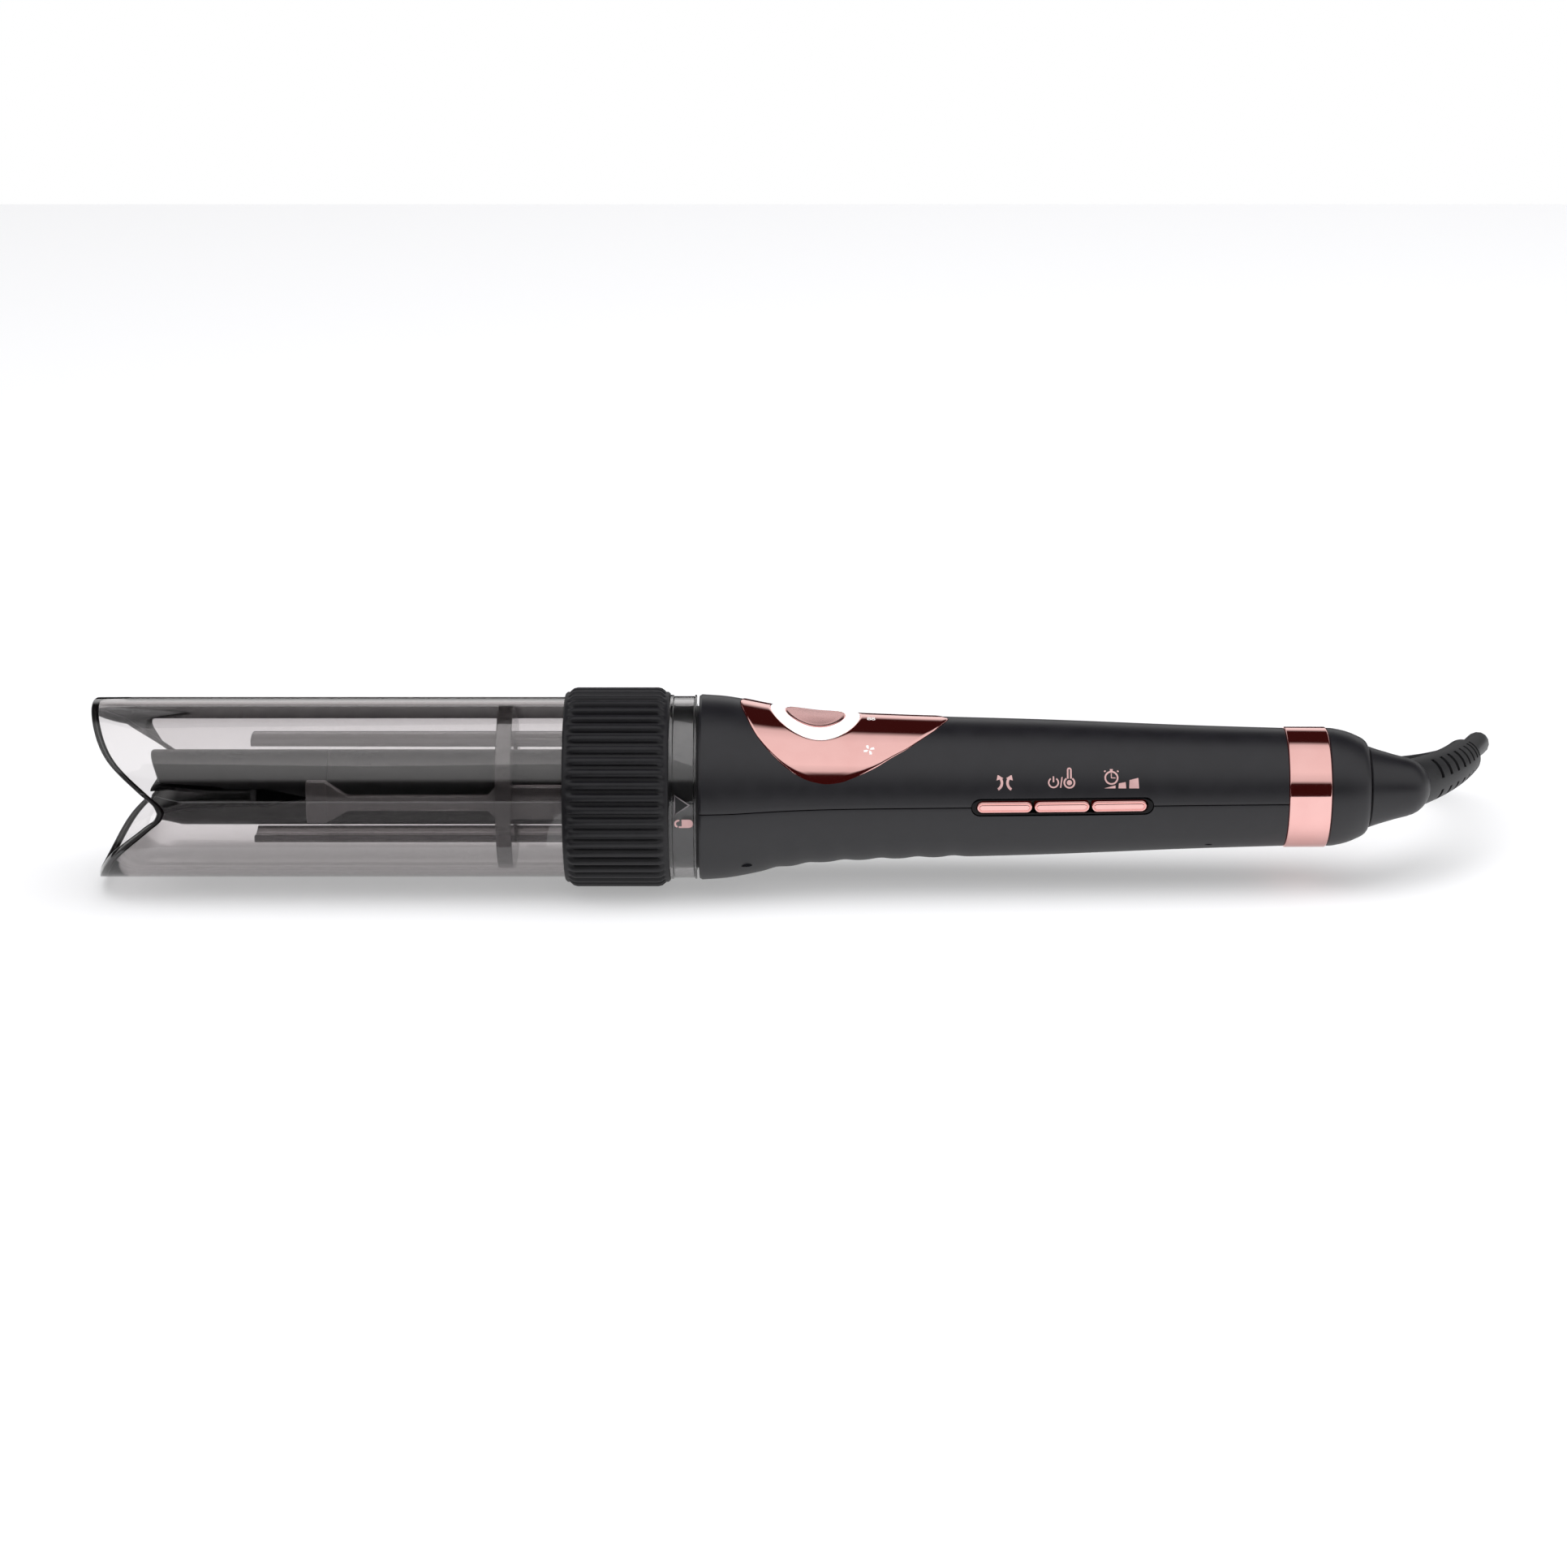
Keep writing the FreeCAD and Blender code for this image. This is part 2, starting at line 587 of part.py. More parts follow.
def gear_face(teeth, turn):
    """A spur gear's outline; the first tooth points at the turn angle, measured from +Y to +Z."""
    module = float(d.gear_module)
    pitch = module * teeth / 2
    base = pitch * math.cos(PRESSURE_ANGLE)
    root = pitch - 1.2 * module
    tip = pitch + 0.8 * module
    half_pitch = TOOTH_SHARE * math.pi / teeth
    levels = [root, max(base, root + 0.05), pitch, tip]
    flank = []
    for radius in levels:
        lean = math.acos(min(1.0, base / max(radius, base)))
        flank.append((radius, half_pitch + involute(PRESSURE_ANGLE) - involute(lean)))
    points = []
    for number in range(teeth):
        middle = turn + 2 * math.pi * number / teeth
        rising = [(radius, middle - half) for radius, half in flank]
        falling = [(radius, middle + half) for radius, half in reversed(flank)]
        for radius, angle in rising + falling:
            points.append(Vector(0, radius * math.cos(angle), radius * math.sin(angle)))
    return Part.Face(wire_of(points))


def gear(label, teeth, turn, bore, z):
    width = float(d.gear_width)
    solid = gear_face(teeth, turn).extrude(Vector(width, 0, 0))
    hole = Part.makeCylinder(float(bore), width, Vector(0, 0, 0), X_AXIS)
    shaped(label, gear_start, solid.cut(hole), z=z)


def motor_pieces():
    driven_teeth = int(float(d.driven_teeth))
    pinion_teeth = int(float(d.pinion_teeth))
    down = -math.pi / 2
    gap_up = math.pi / 2 + math.pi / pinion_teeth
    gear("driven_gear", driven_teeth, down, d.shaft_r + d.skin_gap, Size(0))
    gear("motor_pinion", pinion_teeth, gap_up, d.motor_shaft_r + 0.02, -gear_offset)

    bracket_rear = bracket_start + d.bracket_thickness
    shaft_front = gear_start - 0.5
    shaft_length = bracket_rear + 0.6 - shaft_front
    keep(
        "motor_shaft",
        tube("motor_shaft", shaft_front, shaft_length, 0, d.motor_shaft_r, z=-gear_offset),
    )
    half_width = d.motor_width / 2
    low = -gear_offset - d.motor_height / 2
    high = -gear_offset + d.motor_height / 2
    boxed = block("gearbox_case", bracket_rear, d.gearbox_length, -half_width, half_width, low, high)
    hole_r = d.motor_shaft_r + d.running_gap
    hole = tube("gearbox_hole", bracket_rear - 1, 2.0, 0, hole_r, z=-gear_offset)
    keep("motor_gearbox", combine("Cut", "motor_gearbox", boxed, hole))
    can_start = bracket_rear + d.gearbox_length
    can_round = tube("motor_round", can_start, d.motor_length, 0, half_width, z=-gear_offset)
    can_flat = block("motor_flat", can_start, d.motor_length, -half_width, half_width, low, high)
    keep("motor_can", combine("MultiCommon", "motor_can", can_round, can_flat))

    plate_low = -gear_offset - d.motor_height / 2 - 1.4
    half_plate = d.bracket_half
    plate_high = -(d.shaft_r + 0.6)
    plate = block(
        "bracket_plate", bracket_start, d.bracket_thickness, -half_plate, half_plate, plate_low, plate_high
    )
    passage = tube("bracket_hole", bracket_start - 1, 4.0, 0, d.motor_shaft_r + 0.4, z=-gear_offset)
    posts = []
    post_start = frame_start + d.frame_thickness
    post_length = bracket_start - post_start + 0.5
    for side in (-1, 1):
        middle = 7.6 * side
        name = f"bracket_post_{side + 1}"
        posts.append(block(name, post_start, post_length, middle - 1.2, middle + 1.2, -7.8, -5.2))
    whole = combine("MultiFuse", "bracket_blank", plate, *posts)
    holes = [passage]
    screws = []
    screw_hole_r = 0.8
    shank_r = screw_hole_r - 0.02
    outline = [(0, 0), (0, 1.5), (1.0, 1.5), (1.0, shank_r), (2.3, shank_r), (2.3, 0)]
    height = -gear_offset
    for side in (-1, 1):
        y = 4.4 * side
        hole_name = f"bracket_screw_hole_{side + 1}"
        holes.append(tube(hole_name, bracket_start - 1, 4.0, 0, screw_hole_r, y, height))
        screws.append(turned(f"motor_screw_{side + 1}", bracket_start - 1.02, outline, y, height))
    keep("motor_bracket", combine("Cut", "motor_bracket", whole, *holes))
    keep("motor_screws", combine("Compound", "motor_screws", *screws))


# ---------------------------------------------------------------- handle shells
def panel_outline(grow):
    """Plan outline of the top panel: blunt in front, pointed behind, grown by a clearance."""
    front = float(d.panel_front) - grow
    length = float(d.panel_length) + 2 * grow
    half = float(d.panel_half) + grow
    shares = [(0.0, 0.0), (0.006, 0.18), (0.02, 0.36), (0.055, 0.63), (0.109, 0.805), (0.178, 0.923),
              (0.247, 0.982), (0.316, 1.0), (0.413, 0.994), (0.494, 0.967), (0.591, 0.905),
              (0.66, 0.846), (0.797, 0.665), (0.88, 0.49), (0.94, 0.32), (0.98, 0.125), (1.0, 0.0)]
    side = [Vector(front + length * x, half * y, 0) for x, y in shares]
    edges = []
    for sign in (1, -1):
        points = [Vector(p.x, sign * p.y, 0) for p in side]
        curve = Part.BSplineCurve()
        curve.interpolate(points)
        edges.append(curve.toShape())
    return Part.Face(Part.Wire(Part.__sortEdges__(edges))).extrude(Vector(0, 0, FAR))


def top_button_heights():
    """Heights about the axis of the top of the curl button's flange and of the board under it."""
    flange_top = float(d.waist_r) - 4.85
    lowest_skin = min(float(d.waist_r), float(d.hold_r) + 1.05)
    board_top = lowest_skin - float(d.board_drop) + float(d.board_thickness)
    return flange_top, board_top


def boss_places():
    """Screw bosses as (along from the handle's front, aside)."""
    rear = float(d.handle_length - d.boss_rear_inset)
    front = float(d.boss_front)
    front_side = float(d.boss_front_side)
    rear_side = float(d.boss_rear_side)
    return [(front, front_side), (front, -front_side), (rear, rear_side), (rear, -rear_side)]


def bezel_centre():
    return float(d.bezel_front) + float(d.bezel_length) / 2


def board_ribs():
    """Places of the two ribs that carry the main board."""
    rear = float(d.handle_length) - float(d.main_back)
    return [float(d.main_front) + 8.0, rear - 8.0]


def handle_shells():
    wall = float(d.handle_wall)
    gap = float(d.panel_gap)
    body = skin(-wall, 0)
    inside = full_inside(-wall + 0.2)
    centre = bezel_centre()
    window = pill(centre, float(d.bezel_length) + 0.2, float(d.bezel_height) + 0.2, -FAR, -FAR / 8)
    _, board_top = top_button_heights()

    upper = body.common(half_space(1))
    recess = skin(-float(d.panel_depth), 2).common(panel_outline(gap))
    upper = upper.cut(recess)
    hole = float(d.button_r) + float(d.ring_gap) + 0.2
    upper = upper.cut(rod_z(d.button_at, 0, hole, 1, FAR))
    lower = body.common(half_space(-1))

    posts = []
    for x, y in ((d.post_front, d.post_front_side), (d.post_rear, d.post_rear_side)):
        for side in (-1, 1):
            post = rod_z(x, side * float(y), d.post_r, board_top + 0.05, FAR / 2)
            posts.append(post.common(inside))
    upper_bosses = []
    lower_bosses = []
    for x, y in boss_places():
        solid = rod_z(x, y, d.boss_r, 0.05, FAR / 2).common(inside)
        bore = rod_z(x, y, d.screw_r, -1, 8.0)
        upper_bosses.append(solid.cut(bore))
        lower_bosses.append(rod_z(x, y, d.boss_r, -FAR / 2, -0.05).common(inside))
    ribs = []
    for x in board_ribs():
        rib = Part.makeBox(2.0, 14.0, FAR / 2 - float(d.main_drop) - 0.05, Vector(x, -7.0, -FAR / 2))
        ribs.append(rib.common(inside))
    for x in (bezel_centre() - 18.0, bezel_centre() + 18.0):
        rib = Part.makeBox(2.0, 3.0, FAR / 2 - 4.25, Vector(x, -13.6, -FAR / 2))
        ribs.append(rib.common(inside))

    upper = upper.fuse(posts + upper_bosses).cut(window)
    lower = lower.fuse(lower_bosses + ribs).cut(window)
    for x, y in boss_places():
        surface = -math.sqrt(handle_radius(x) ** 2 - y * y)
        lower = lower.cut(rod_z(x, y, float(d.screw_r) + 0.1, -FAR / 2, 0))
        seat = surface + float(d.screw_sink + d.screw_head_height)
        lower = lower.cut(rod_z(x, y, float(d.screw_head_r) + 0.1, -FAR / 2, seat))
    shaped("handle_upper_shell", handle_front, upper.removeSplitter())
    shaped("handle_lower_shell", handle_front, lower.removeSplitter())


def full_inside(offset):
    """The handle's inside, filled, out to a depth measured from its outer surface."""
    curve = outline_curve(offset)
    start = curve.StartPoint
    end = curve.EndPoint
    edges = [
        curve.toShape(),
        Part.LineSegment(end, Vector(end.x, 0, 0)).toShape(),
        Part.LineSegment(Vector(end.x, 0, 0), Vector(start.x, 0, 0)).toShape(),
        Part.LineSegment(Vector(start.x, 0, 0), start).toShape(),
    ]
    return Part.Face(Part.Wire(Part.__sortEdges__(edges))).revolve(Vector(0, 0, 0), X_AXIS, 360)


def handle_screws():
    screws = []
    for x, y in boss_places():
        surface = -math.sqrt(handle_radius(x) ** 2 - y * y)
        head_low = surface + float(d.screw_sink)
        head_high = head_low + float(d.screw_head_height)
        head = rod_z(x, y, d.screw_head_r, head_low, head_high)
        shank = rod_z(x, y, float(d.screw_r) - 0.03, head_high, 7.5)
        screws.append(head.fuse(shank).removeSplitter())
    shaped("handle_screws", handle_front, Part.makeCompound(screws))


# ---------------------------------------------------------------- top controls
def top_pieces():
    panel = skin(-float(d.panel_depth) + 0.12, d.panel_proud).common(panel_outline(0.0))
    panel = panel.cut(rod_z(d.button_at, 0, float(d.ring_r) + 0.1, 1, FAR))
    shaped("top_panel", handle_front, panel)

    ring_bore = float(d.button_r) + float(d.ring_gap)
    ring = skin(-float(d.panel_depth) + 0.12, d.ring_proud)
    ring = ring.common(rod_z(d.button_at, 0, d.ring_r, 1, FAR))
    ring = ring.cut(rod_z(d.button_at, 0, ring_bore, 1, FAR))
    shaped("light_ring", handle_front, ring)

    flange_top, board_top = top_button_heights()
    switch_top = board_top + 0.7
    foot = switch_top + float(d.button_travel) + 0.1
    cap = full_inside(0.35).common(rod_z(d.button_at, 0, d.button_r, flange_top - 0.4, FAR))
    flange = rod_z(d.button_at, 0, float(d.button_r + d.flange_out), flange_top - 0.8, flange_top)
    stem = rod_z(d.button_at, 0, d.stem_r, foot, flange_top - 0.4)
    shaped("curl_button", handle_front, cap.fuse([flange, stem]).removeSplitter())

    low = as_size(board_top) - d.board_thickness
    board_start = handle_front + d.board_front
    board = block("control_board", board_start, d.board_length, -d.board_half, d.board_half, low, board_top)
    keep("control_board", board)
    button_station = handle_front + d.button_at
    switch = block("curl_switch", button_station - 3, 6, -3, 3, board_top, switch_top)
    keep("curl_switch", switch)
    lamps = []
    lamp_count = 8
    lamp = float(d.led_size)
    for number in range(lamp_count):
        angle = 2 * math.pi * (number + 0.5) / lamp_count
        front = button_station + float(d.led_circle_r) * math.cos(angle) - lamp / 2
        y = float(d.led_circle_r) * math.sin(angle)
        lamp_top = board_top + lamp / 2
        name = f"ring_led_{number}"
        lamps.append(block(name, front, lamp, y - lamp / 2, y + lamp / 2, board_top, lamp_top))
    keep("ring_leds", combine("Compound", "ring_leds", *lamps))


# ---------------------------------------------------------------- side controls
SIDE_BUTTONS = ["direction_button", "temperature_button", "timer_button"]


def side_pieces():
    seat = -(float(d.middle_r) - float(d.bezel_back))
    centre = bezel_centre()
    rim = float(d.bezel_rim)
    outer = pill(centre, d.bezel_length, d.bezel_height, -FAR, seat)
    hole_height = float(d.side_button_height) + 0.3
    opening = pill(centre, float(d.bezel_length) - 2 * rim, hole_height, -FAR, 0)
    bezel = full_inside(-float(d.bezel_inset)).common(outer).cut(opening)
    shaped("button_bezel", handle_front, bezel)

    flange_front = seat + 0.1
    flange_back = flange_front + 0.8
    switch_front = flange_back + float(d.side_travel) + 0.1
    board_front = switch_front + 1.3
    switches = []
    for number, label in enumerate(SIDE_BUTTONS):
        middle = float(d.side_button_first) + float(d.side_button_length) / 2
        middle += number * float(d.side_button_pitch)
        cap = pill(middle, d.side_button_length, d.side_button_height, -FAR, flange_back - 0.3)
        cap = full_inside(-0.1).common(cap)
        flange = pill(middle, float(d.side_button_length) + 0.4, 4.1, flange_front, flange_back)
        shaped(label, handle_front, cap.fuse(flange).removeSplitter())
        switches.append(block(
            f"side_switch_{number}", handle_front + middle - 2, 4, switch_front, board_front, -2, 2
        ))
    keep("side_switches", combine("Compound", "side_switches", *switches))
    board_start = handle_front + d.bezel_front - 1
    board = block(
        "side_button_board", board_start, d.bezel_length + 2, board_front, board_front + 1.2, -4.2, 4.2
    )
    keep("side_button_board", board)


# ---------------------------------------------------------------- electronics
def electronics():
    start = handle_front + d.main_front
    length = d.handle_length - d.main_back - d.main_front
    top = -d.main_drop + d.board_thickness
    board = block("main_board", start, length, -d.main_half, d.main_half, -d.main_drop, top)
    keep("main_board", board)
    converter_start = handle_rear - d.main_back - 24
    converter = block("power_converter", converter_start, 18, -4, 8, top, top + 9)
    keep("power_converter", converter)
    capacitor_z = top + 4.1
    keep("filter_capacitor", tube("filter_capacitor", start + 6, 16, 0, 4.0, z=capacitor_z))


# ---------------------------------------------------------------- tail and swivel
def tail_pieces():
    edge = 0.5
    band_bore = shell_tail_bore - 0.1
    band_r = d.tail_r + d.band_proud
    length = d.band_length - 0.2
    outline = [
        (0, band_bore), (length, band_bore), (length, band_r - edge), (length - edge, band_r),
        (edge, band_r), (0, band_r - edge),
    ]
    keep("tail_band", turned("tail_band", handle_rear + 0.1, outline))

    spigot_front = handle_rear - d.spigot_length
    rear = cap_rear - spigot_front
    cap_front = band_rear - spigot_front
    spigot_outer = shell_tail_bore - 0.25
    spigot_bore = spigot_outer - 1.8
    floor_front = rear - d.cap_floor
    journal_hole = d.journal_r + d.running_gap
    outline = [
        (0, spigot_bore), (floor_front, spigot_bore), (floor_front, journal_hole), (rear, journal_hole),
        (rear, d.tail_r - 4.2), (rear - 0.5, d.tail_r - 3.3), (rear - 1.8, d.tail_r - 2.4),
        (rear - 3.6, d.tail_r - 1.6), (rear - 6.0, d.tail_r - 0.8), (rear - 9.0, d.tail_r - 0.15),
        (cap_front, d.tail_r), (cap_front, spigot_outer), (0, spigot_outer),
    ]
    keep("end_cap", turned("end_cap", spigot_front, outline))

    floor_station = cap_rear - d.cap_floor
    retainer_start = floor_station - 1.2
    journal_bore = d.journal_r + 0.02
    keep("swivel_retainer", tube("swivel_retainer", retainer_start, 1.0, journal_bore, d.journal_r + 3.8))
    journal_start = floor_station - 4.6
    disc_start = journal_start - 1.2
    keep("swivel_contact_disc", tube("swivel_contact_disc", disc_start, 1.2, 0, 8.0))
    plate_start = disc_start - 4.8
    plate = tube("brush_plate_disc", plate_start, 1.2, 0, spigot_bore - 0.1)
    fingers = [plate]
    for number, (y, z) in enumerate(((0, 0), (0, 5.5), (0, -5.5))):
        fingers.append(tube(f"brush_finger_{number}", plate_start + 1.0, 3.75, 0, 0.8, y, z))
    keep("swivel_brush_plate", combine("MultiFuse", "swivel_brush_plate", *fingers))
    return journal_start


def relief_shape(grow):
    """Tapered strain relief bent in the level plane away from the near side, about the cone's end."""
    start_x = -float(d.relief_back)
    bend = float(d.relief_bend_r)
    first = math.radians(float(d.relief_start_angle))
    last = first + math.radians(float(d.relief_sweep))
    centre = Vector(start_x - bend * math.sin(first), bend * math.cos(first), 0)

    def at(angle):
        return centre + Vector(bend * math.sin(angle), -bend * math.cos(angle), 0)

    def heading(angle):
        return Vector(math.cos(angle), math.sin(angle), 0)

    path = Part.Arc(at(first), at((first + last) / 2), at(last)).toShape()
    base = Part.makeCircle(float(d.relief_base_r) + grow, at(first), heading(first))
    tip = Part.makeCircle(float(d.relief_tip_r) + grow, at(last), heading(last))
    solid = Part.Wire([path]).makePipeShell([Part.Wire([base]), Part.Wire([tip])], True, False)
    return solid, at(last), heading(last)


def swivel_pieces(journal_start):
    """Cone with its journal, cut where the strain relief leaves it."""
    r = d.cone_r
    journal = cone_front - journal_start
    outline = [
        (0, 0), (0, d.journal_r), (journal, d.journal_r), (journal, r - 0.5), (journal + 0.5, r),
        (journal + 3.0, r - 0.9), (journal + 7.4, r - 2.2), (journal + 11.8, r - 3.3),
        (journal + 14.0, r - 4.1), (journal + 15.8, r - 5.6), (journal + 17.0, r - 7.7),
        (journal + 17.5, r - 9.8), (journal + 17.5, 0),
    ]
    points = [Vector(float(x), 0, float(radius)) for x, radius in outline]
    cone = Part.Face(wire_of(points)).revolve(Vector(0, 0, 0), X_AXIS, 360)
    relief, tip, heading = relief_shape(0.0)
    pocket, _, _ = relief_shape(0.08)
    pocket.translate(Vector(float(journal + d.cone_length), 0, 0))
    shaped("swivel_cone", journal_start, cone.cut(pocket))
    shaped("strain_relief", body_length, relief)
    return tip, heading


# ---------------------------------------------------------------- cord, hank and plug
# The cord's route behind the strain relief, chosen by hand: along and aside from the relief's tip,
# and a height as a share of the tip's height above the cord lying flat.
CORD_FIRST_RUN = 15.0
CORD_ROUTE = [
    (9.1, 28.0, 0.79), (6.2, 41.7, 0.458), (-3.2, 52.9, 0.178), (-18.9, 60.9, 0.015),
    (-35.5, 65.8, 0.002),
]


def bent_tube(points, radius):
    """A round tube along straight runs joined by tangent arcs; prints the arcs' radii."""
    edges = []
    radii = []
    here = points[0]
    for before, corner, after in zip(points, points[1:], points[2:]):
        run_in = corner - before
        run_out = after - corner
        shorter = min(run_in.Length, run_out.Length)
        turn = run_in.getAngle(run_out)
        trim = 0.45 * shorter
        radii.append(round(trim / math.tan(turn / 2), 1))
        enter = corner - run_in.normalize() * trim
        leave = corner + run_out.normalize() * trim
        edges.append(Part.LineSegment(here, enter).toShape())
        bisector = (enter + leave) * 0.5 - corner
        arc_radius = trim / math.tan(turn / 2)
        sag = arc_radius / math.cos(turn / 2) - arc_radius
        middle = corner + bisector.normalize() * sag
        edges.append(Part.Arc(enter, middle, leave).toShape())
        here = leave
    edges.append(Part.LineSegment(here, points[-1]).toShape())
    path = Part.Wire(edges)
    first = points[1] - points[0]
    ring = Part.Wire([Part.makeCircle(radius, points[0], first)])
    solid = path.makePipeShell([ring], True, False)
    expected = math.pi * radius ** 2 * path.Length
    ratio = round(solid.Volume / expected, 4)
    print("cord arcs", radii, "length", round(path.Length, 1), "volume ratio", ratio)
    return solid


def stadium(centre, reach, radius, low, high):
    """A round-ended slab about the hank's centre: reach is half its straight run."""
    lower = Part.makeBox(2 * reach, 2 * radius, high - low, centre + Vector(-reach, -radius, low))
    ends = [
        Part.makeCylinder(radius, high - low, centre + Vector(side * reach, 0, low), Z_AXIS)
        for side in (-1, 1)
    ]
    return lower.fuse(ends).removeSplitter()


def cord_pieces(relief_tip, relief_heading):
    cord_r = float(d.cord_r)
    pitch = 2 * cord_r
    base = float(d.tie_wall) + float(d.tie_gap)
    reach = float(d.hank_run) / 2
    inner = float(d.hank_turn_r) - cord_r
    wide = inner + 3 * pitch
    start = relief_tip + Vector(float(body_length) / 2, 0, float(axis_height))
    centre = Vector(start.x - float(d.hank_setback), start.y + float(d.hank_offset), 0)
    whole = stadium(centre, reach, wide, base, base + 2 * pitch)
    well = stadium(centre, reach, inner, -1, base + 3 * pitch)
    hank = whole.cut(well).removeSplitter()
    free_shaped("cord_hank", hank)

    points = [start, start + relief_heading * CORD_FIRST_RUN]
    flat = base + cord_r
    for along, aside, share in CORD_ROUTE:
        points.append(Vector(start.x + along, start.y + aside, flat + share * (start.z - flat)))
    free_shaped("cord", bent_tube(points, cord_r).cut(hank))

    # One hook-and-loop tie round each side of the hank.
    wall = float(d.tie_wall)
    gap = float(d.tie_gap)
    half_tie = float(d.tie_width) / 2
    top = base + 2 * pitch + gap
    ties = []
    for side in (-1, 1):
        near, far = sorted([centre.y + side * (inner - gap), centre.y + side * (wide + gap)])
        front = centre.x - half_tie
        width = 2 * half_tie
        outer = Part.makeBox(width, far - near + 2 * wall, top + wall, Vector(front, near - wall, 0))
        hollow = Part.makeBox(width, far - near, top - wall, Vector(front, near, wall))
        ties.append(outer.cut(hollow))
    free_shaped("cord_ties", Part.makeCompound(ties))

    leave = centre + Vector(0, wide - cord_r, base + pitch + cord_r)
    plug_pieces(hank, leave)


def free_shaped(label, shape):
    """A piece of the cord, made where it lies in the model's own frame."""
    item = doc.addObject("Part::Feature", label)
    item.Shape = shape
    item.Placement = Placement(Vector(0, 0, 0), Rotation())
    return keep(label, item)


def plug_pieces(hank, leave):
    """Flat two-pin plug lying in line with the hank's far run, where its cord comes off."""
    y = leave.y
    z = float(d.plug_height) / 2
    front = leave.x - float(d.plug_setback)
    length = float(d.plug_length)
    half = float(d.plug_width) / 2
    side = [(0.0, half - 2.0), (3.0, half), (length * 0.6, half), (length, 7.0)]
    outline = [Vector(front + x, y + w, 0) for x, w in side]
    outline += [Vector(front + x, y - w, 0) for x, w in reversed(side)]
    body = prism(outline, Vector(0, 0, float(d.plug_height)))
    rounded = [edge for edge in body.Edges if abs(edge.tangentAt(edge.FirstParameter).z) < 0.5]
    rounded = [edge for edge in rounded if edge.CenterOfMass.x > front + 0.5]
    free_shaped("plug_body", body.makeFillet(2.5, rounded))

    pins = []
    for sign in (-1, 1):
        foot = Vector(front, y + sign * float(d.pin_spacing) / 2, z)
        pin = Part.makeCylinder(float(d.pin_r), float(d.pin_length), foot, -X_AXIS)
        tip = [edge for edge in pin.Edges if abs(edge.CenterOfMass.x - front + float(d.pin_length)) < 0.01]
        pins.append(pin.makeFillet(0.6, tip))
    free_shaped("plug_pins", Part.makeCompound(pins))

    rear = front + length
    relief_end = rear + float(d.plug_relief_length)
    relief = Part.makeCone(4.8, 3.9, float(d.plug_relief_length), Vector(rear, y, z), X_AXIS)
    free_shaped("plug_relief", relief)

    start = Vector(relief_end, y, z)
    rise = leave.z - z
    points = [start, start + Vector(6.0, 0, 0), start + Vector(13.0, 0, rise * 0.35)]
    points.append(start + Vector(21.0, 0, rise))
    free_shaped("cord_end", bent_tube(points, float(d.cord_r)).cut(hank))


# ---------------------------------------------------------------- build, check and write
chamber_pieces()
barrel_pieces()
bulkhead_pieces()
motor_pieces()
handle_shells()
handle_screws()
top_pieces()
side_pieces()
electronics()
journal_front = tail_pieces()
relief_end_point, relief_end_heading = swivel_pieces(journal_front)
cord_pieces(relief_end_point, relief_end_heading)
doc.recompute()

for item in doc.Objects:
    if "Invalid" in item.State or "Error" in item.State:
        raise RuntimeError(f"{item.Name} failed: {item.State}")
for label, item in nodes.items():
    shape = item.Shape
    if shape.isNull() or not shape.isValid() or not shape.Solids:
        raise RuntimeError(f"{label} has no valid solid")
    shape.exportStep(f"parts/{label}.step")
print(len(nodes), "sub-parts written")
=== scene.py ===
import math

import bmesh
import bpy
from mathutils import Euler, Matrix, Vector


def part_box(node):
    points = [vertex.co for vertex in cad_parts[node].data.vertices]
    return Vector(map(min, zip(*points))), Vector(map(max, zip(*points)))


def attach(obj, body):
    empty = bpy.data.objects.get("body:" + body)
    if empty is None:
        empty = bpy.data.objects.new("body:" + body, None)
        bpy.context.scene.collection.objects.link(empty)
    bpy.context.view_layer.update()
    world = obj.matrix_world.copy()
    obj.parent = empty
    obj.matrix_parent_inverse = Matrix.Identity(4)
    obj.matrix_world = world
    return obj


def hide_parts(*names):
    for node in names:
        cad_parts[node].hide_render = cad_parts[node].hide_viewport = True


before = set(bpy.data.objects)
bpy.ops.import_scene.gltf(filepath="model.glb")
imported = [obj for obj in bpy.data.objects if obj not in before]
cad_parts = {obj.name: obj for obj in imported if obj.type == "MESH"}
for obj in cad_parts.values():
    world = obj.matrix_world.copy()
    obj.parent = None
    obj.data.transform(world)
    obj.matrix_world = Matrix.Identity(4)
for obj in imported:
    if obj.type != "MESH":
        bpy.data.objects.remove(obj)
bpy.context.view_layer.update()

# Automatic hair curler. Its pieces are laid out in millimetres: a station along the body's axis
# from the tip of the smoked tube, and distances or angles about that axis.
MM = 0.001
tube_low, tube_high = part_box("chamber_tube")
TIP_X = tube_low.x
AXIS_Z = (tube_low.z + tube_high.z) / 2


def station_of(node, end):
    """The station where a CAD node begins (end 0) or stops (end 1)."""
    return (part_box(node)[end].x - TIP_X) / MM


GRIP_FRONT = station_of("grip_sleeve", 0)
GRIP_REAR = station_of("grip_sleeve", 1)
COLLAR_REAR = station_of("lock_collar", 1)
HANDLE_FRONT = station_of("handle_upper_shell", 0)
HANDLE_REAR = station_of("handle_upper_shell", 1)
HANDLE_LENGTH = HANDLE_REAR - HANDLE_FRONT
CAP_REAR = station_of("end_cap", 1)
BARREL_FRONT = station_of("barrel_front", 0)
BARREL_JOINT = station_of("barrel_front", 1)
BARREL_REAR = station_of("barrel_rear", 1)


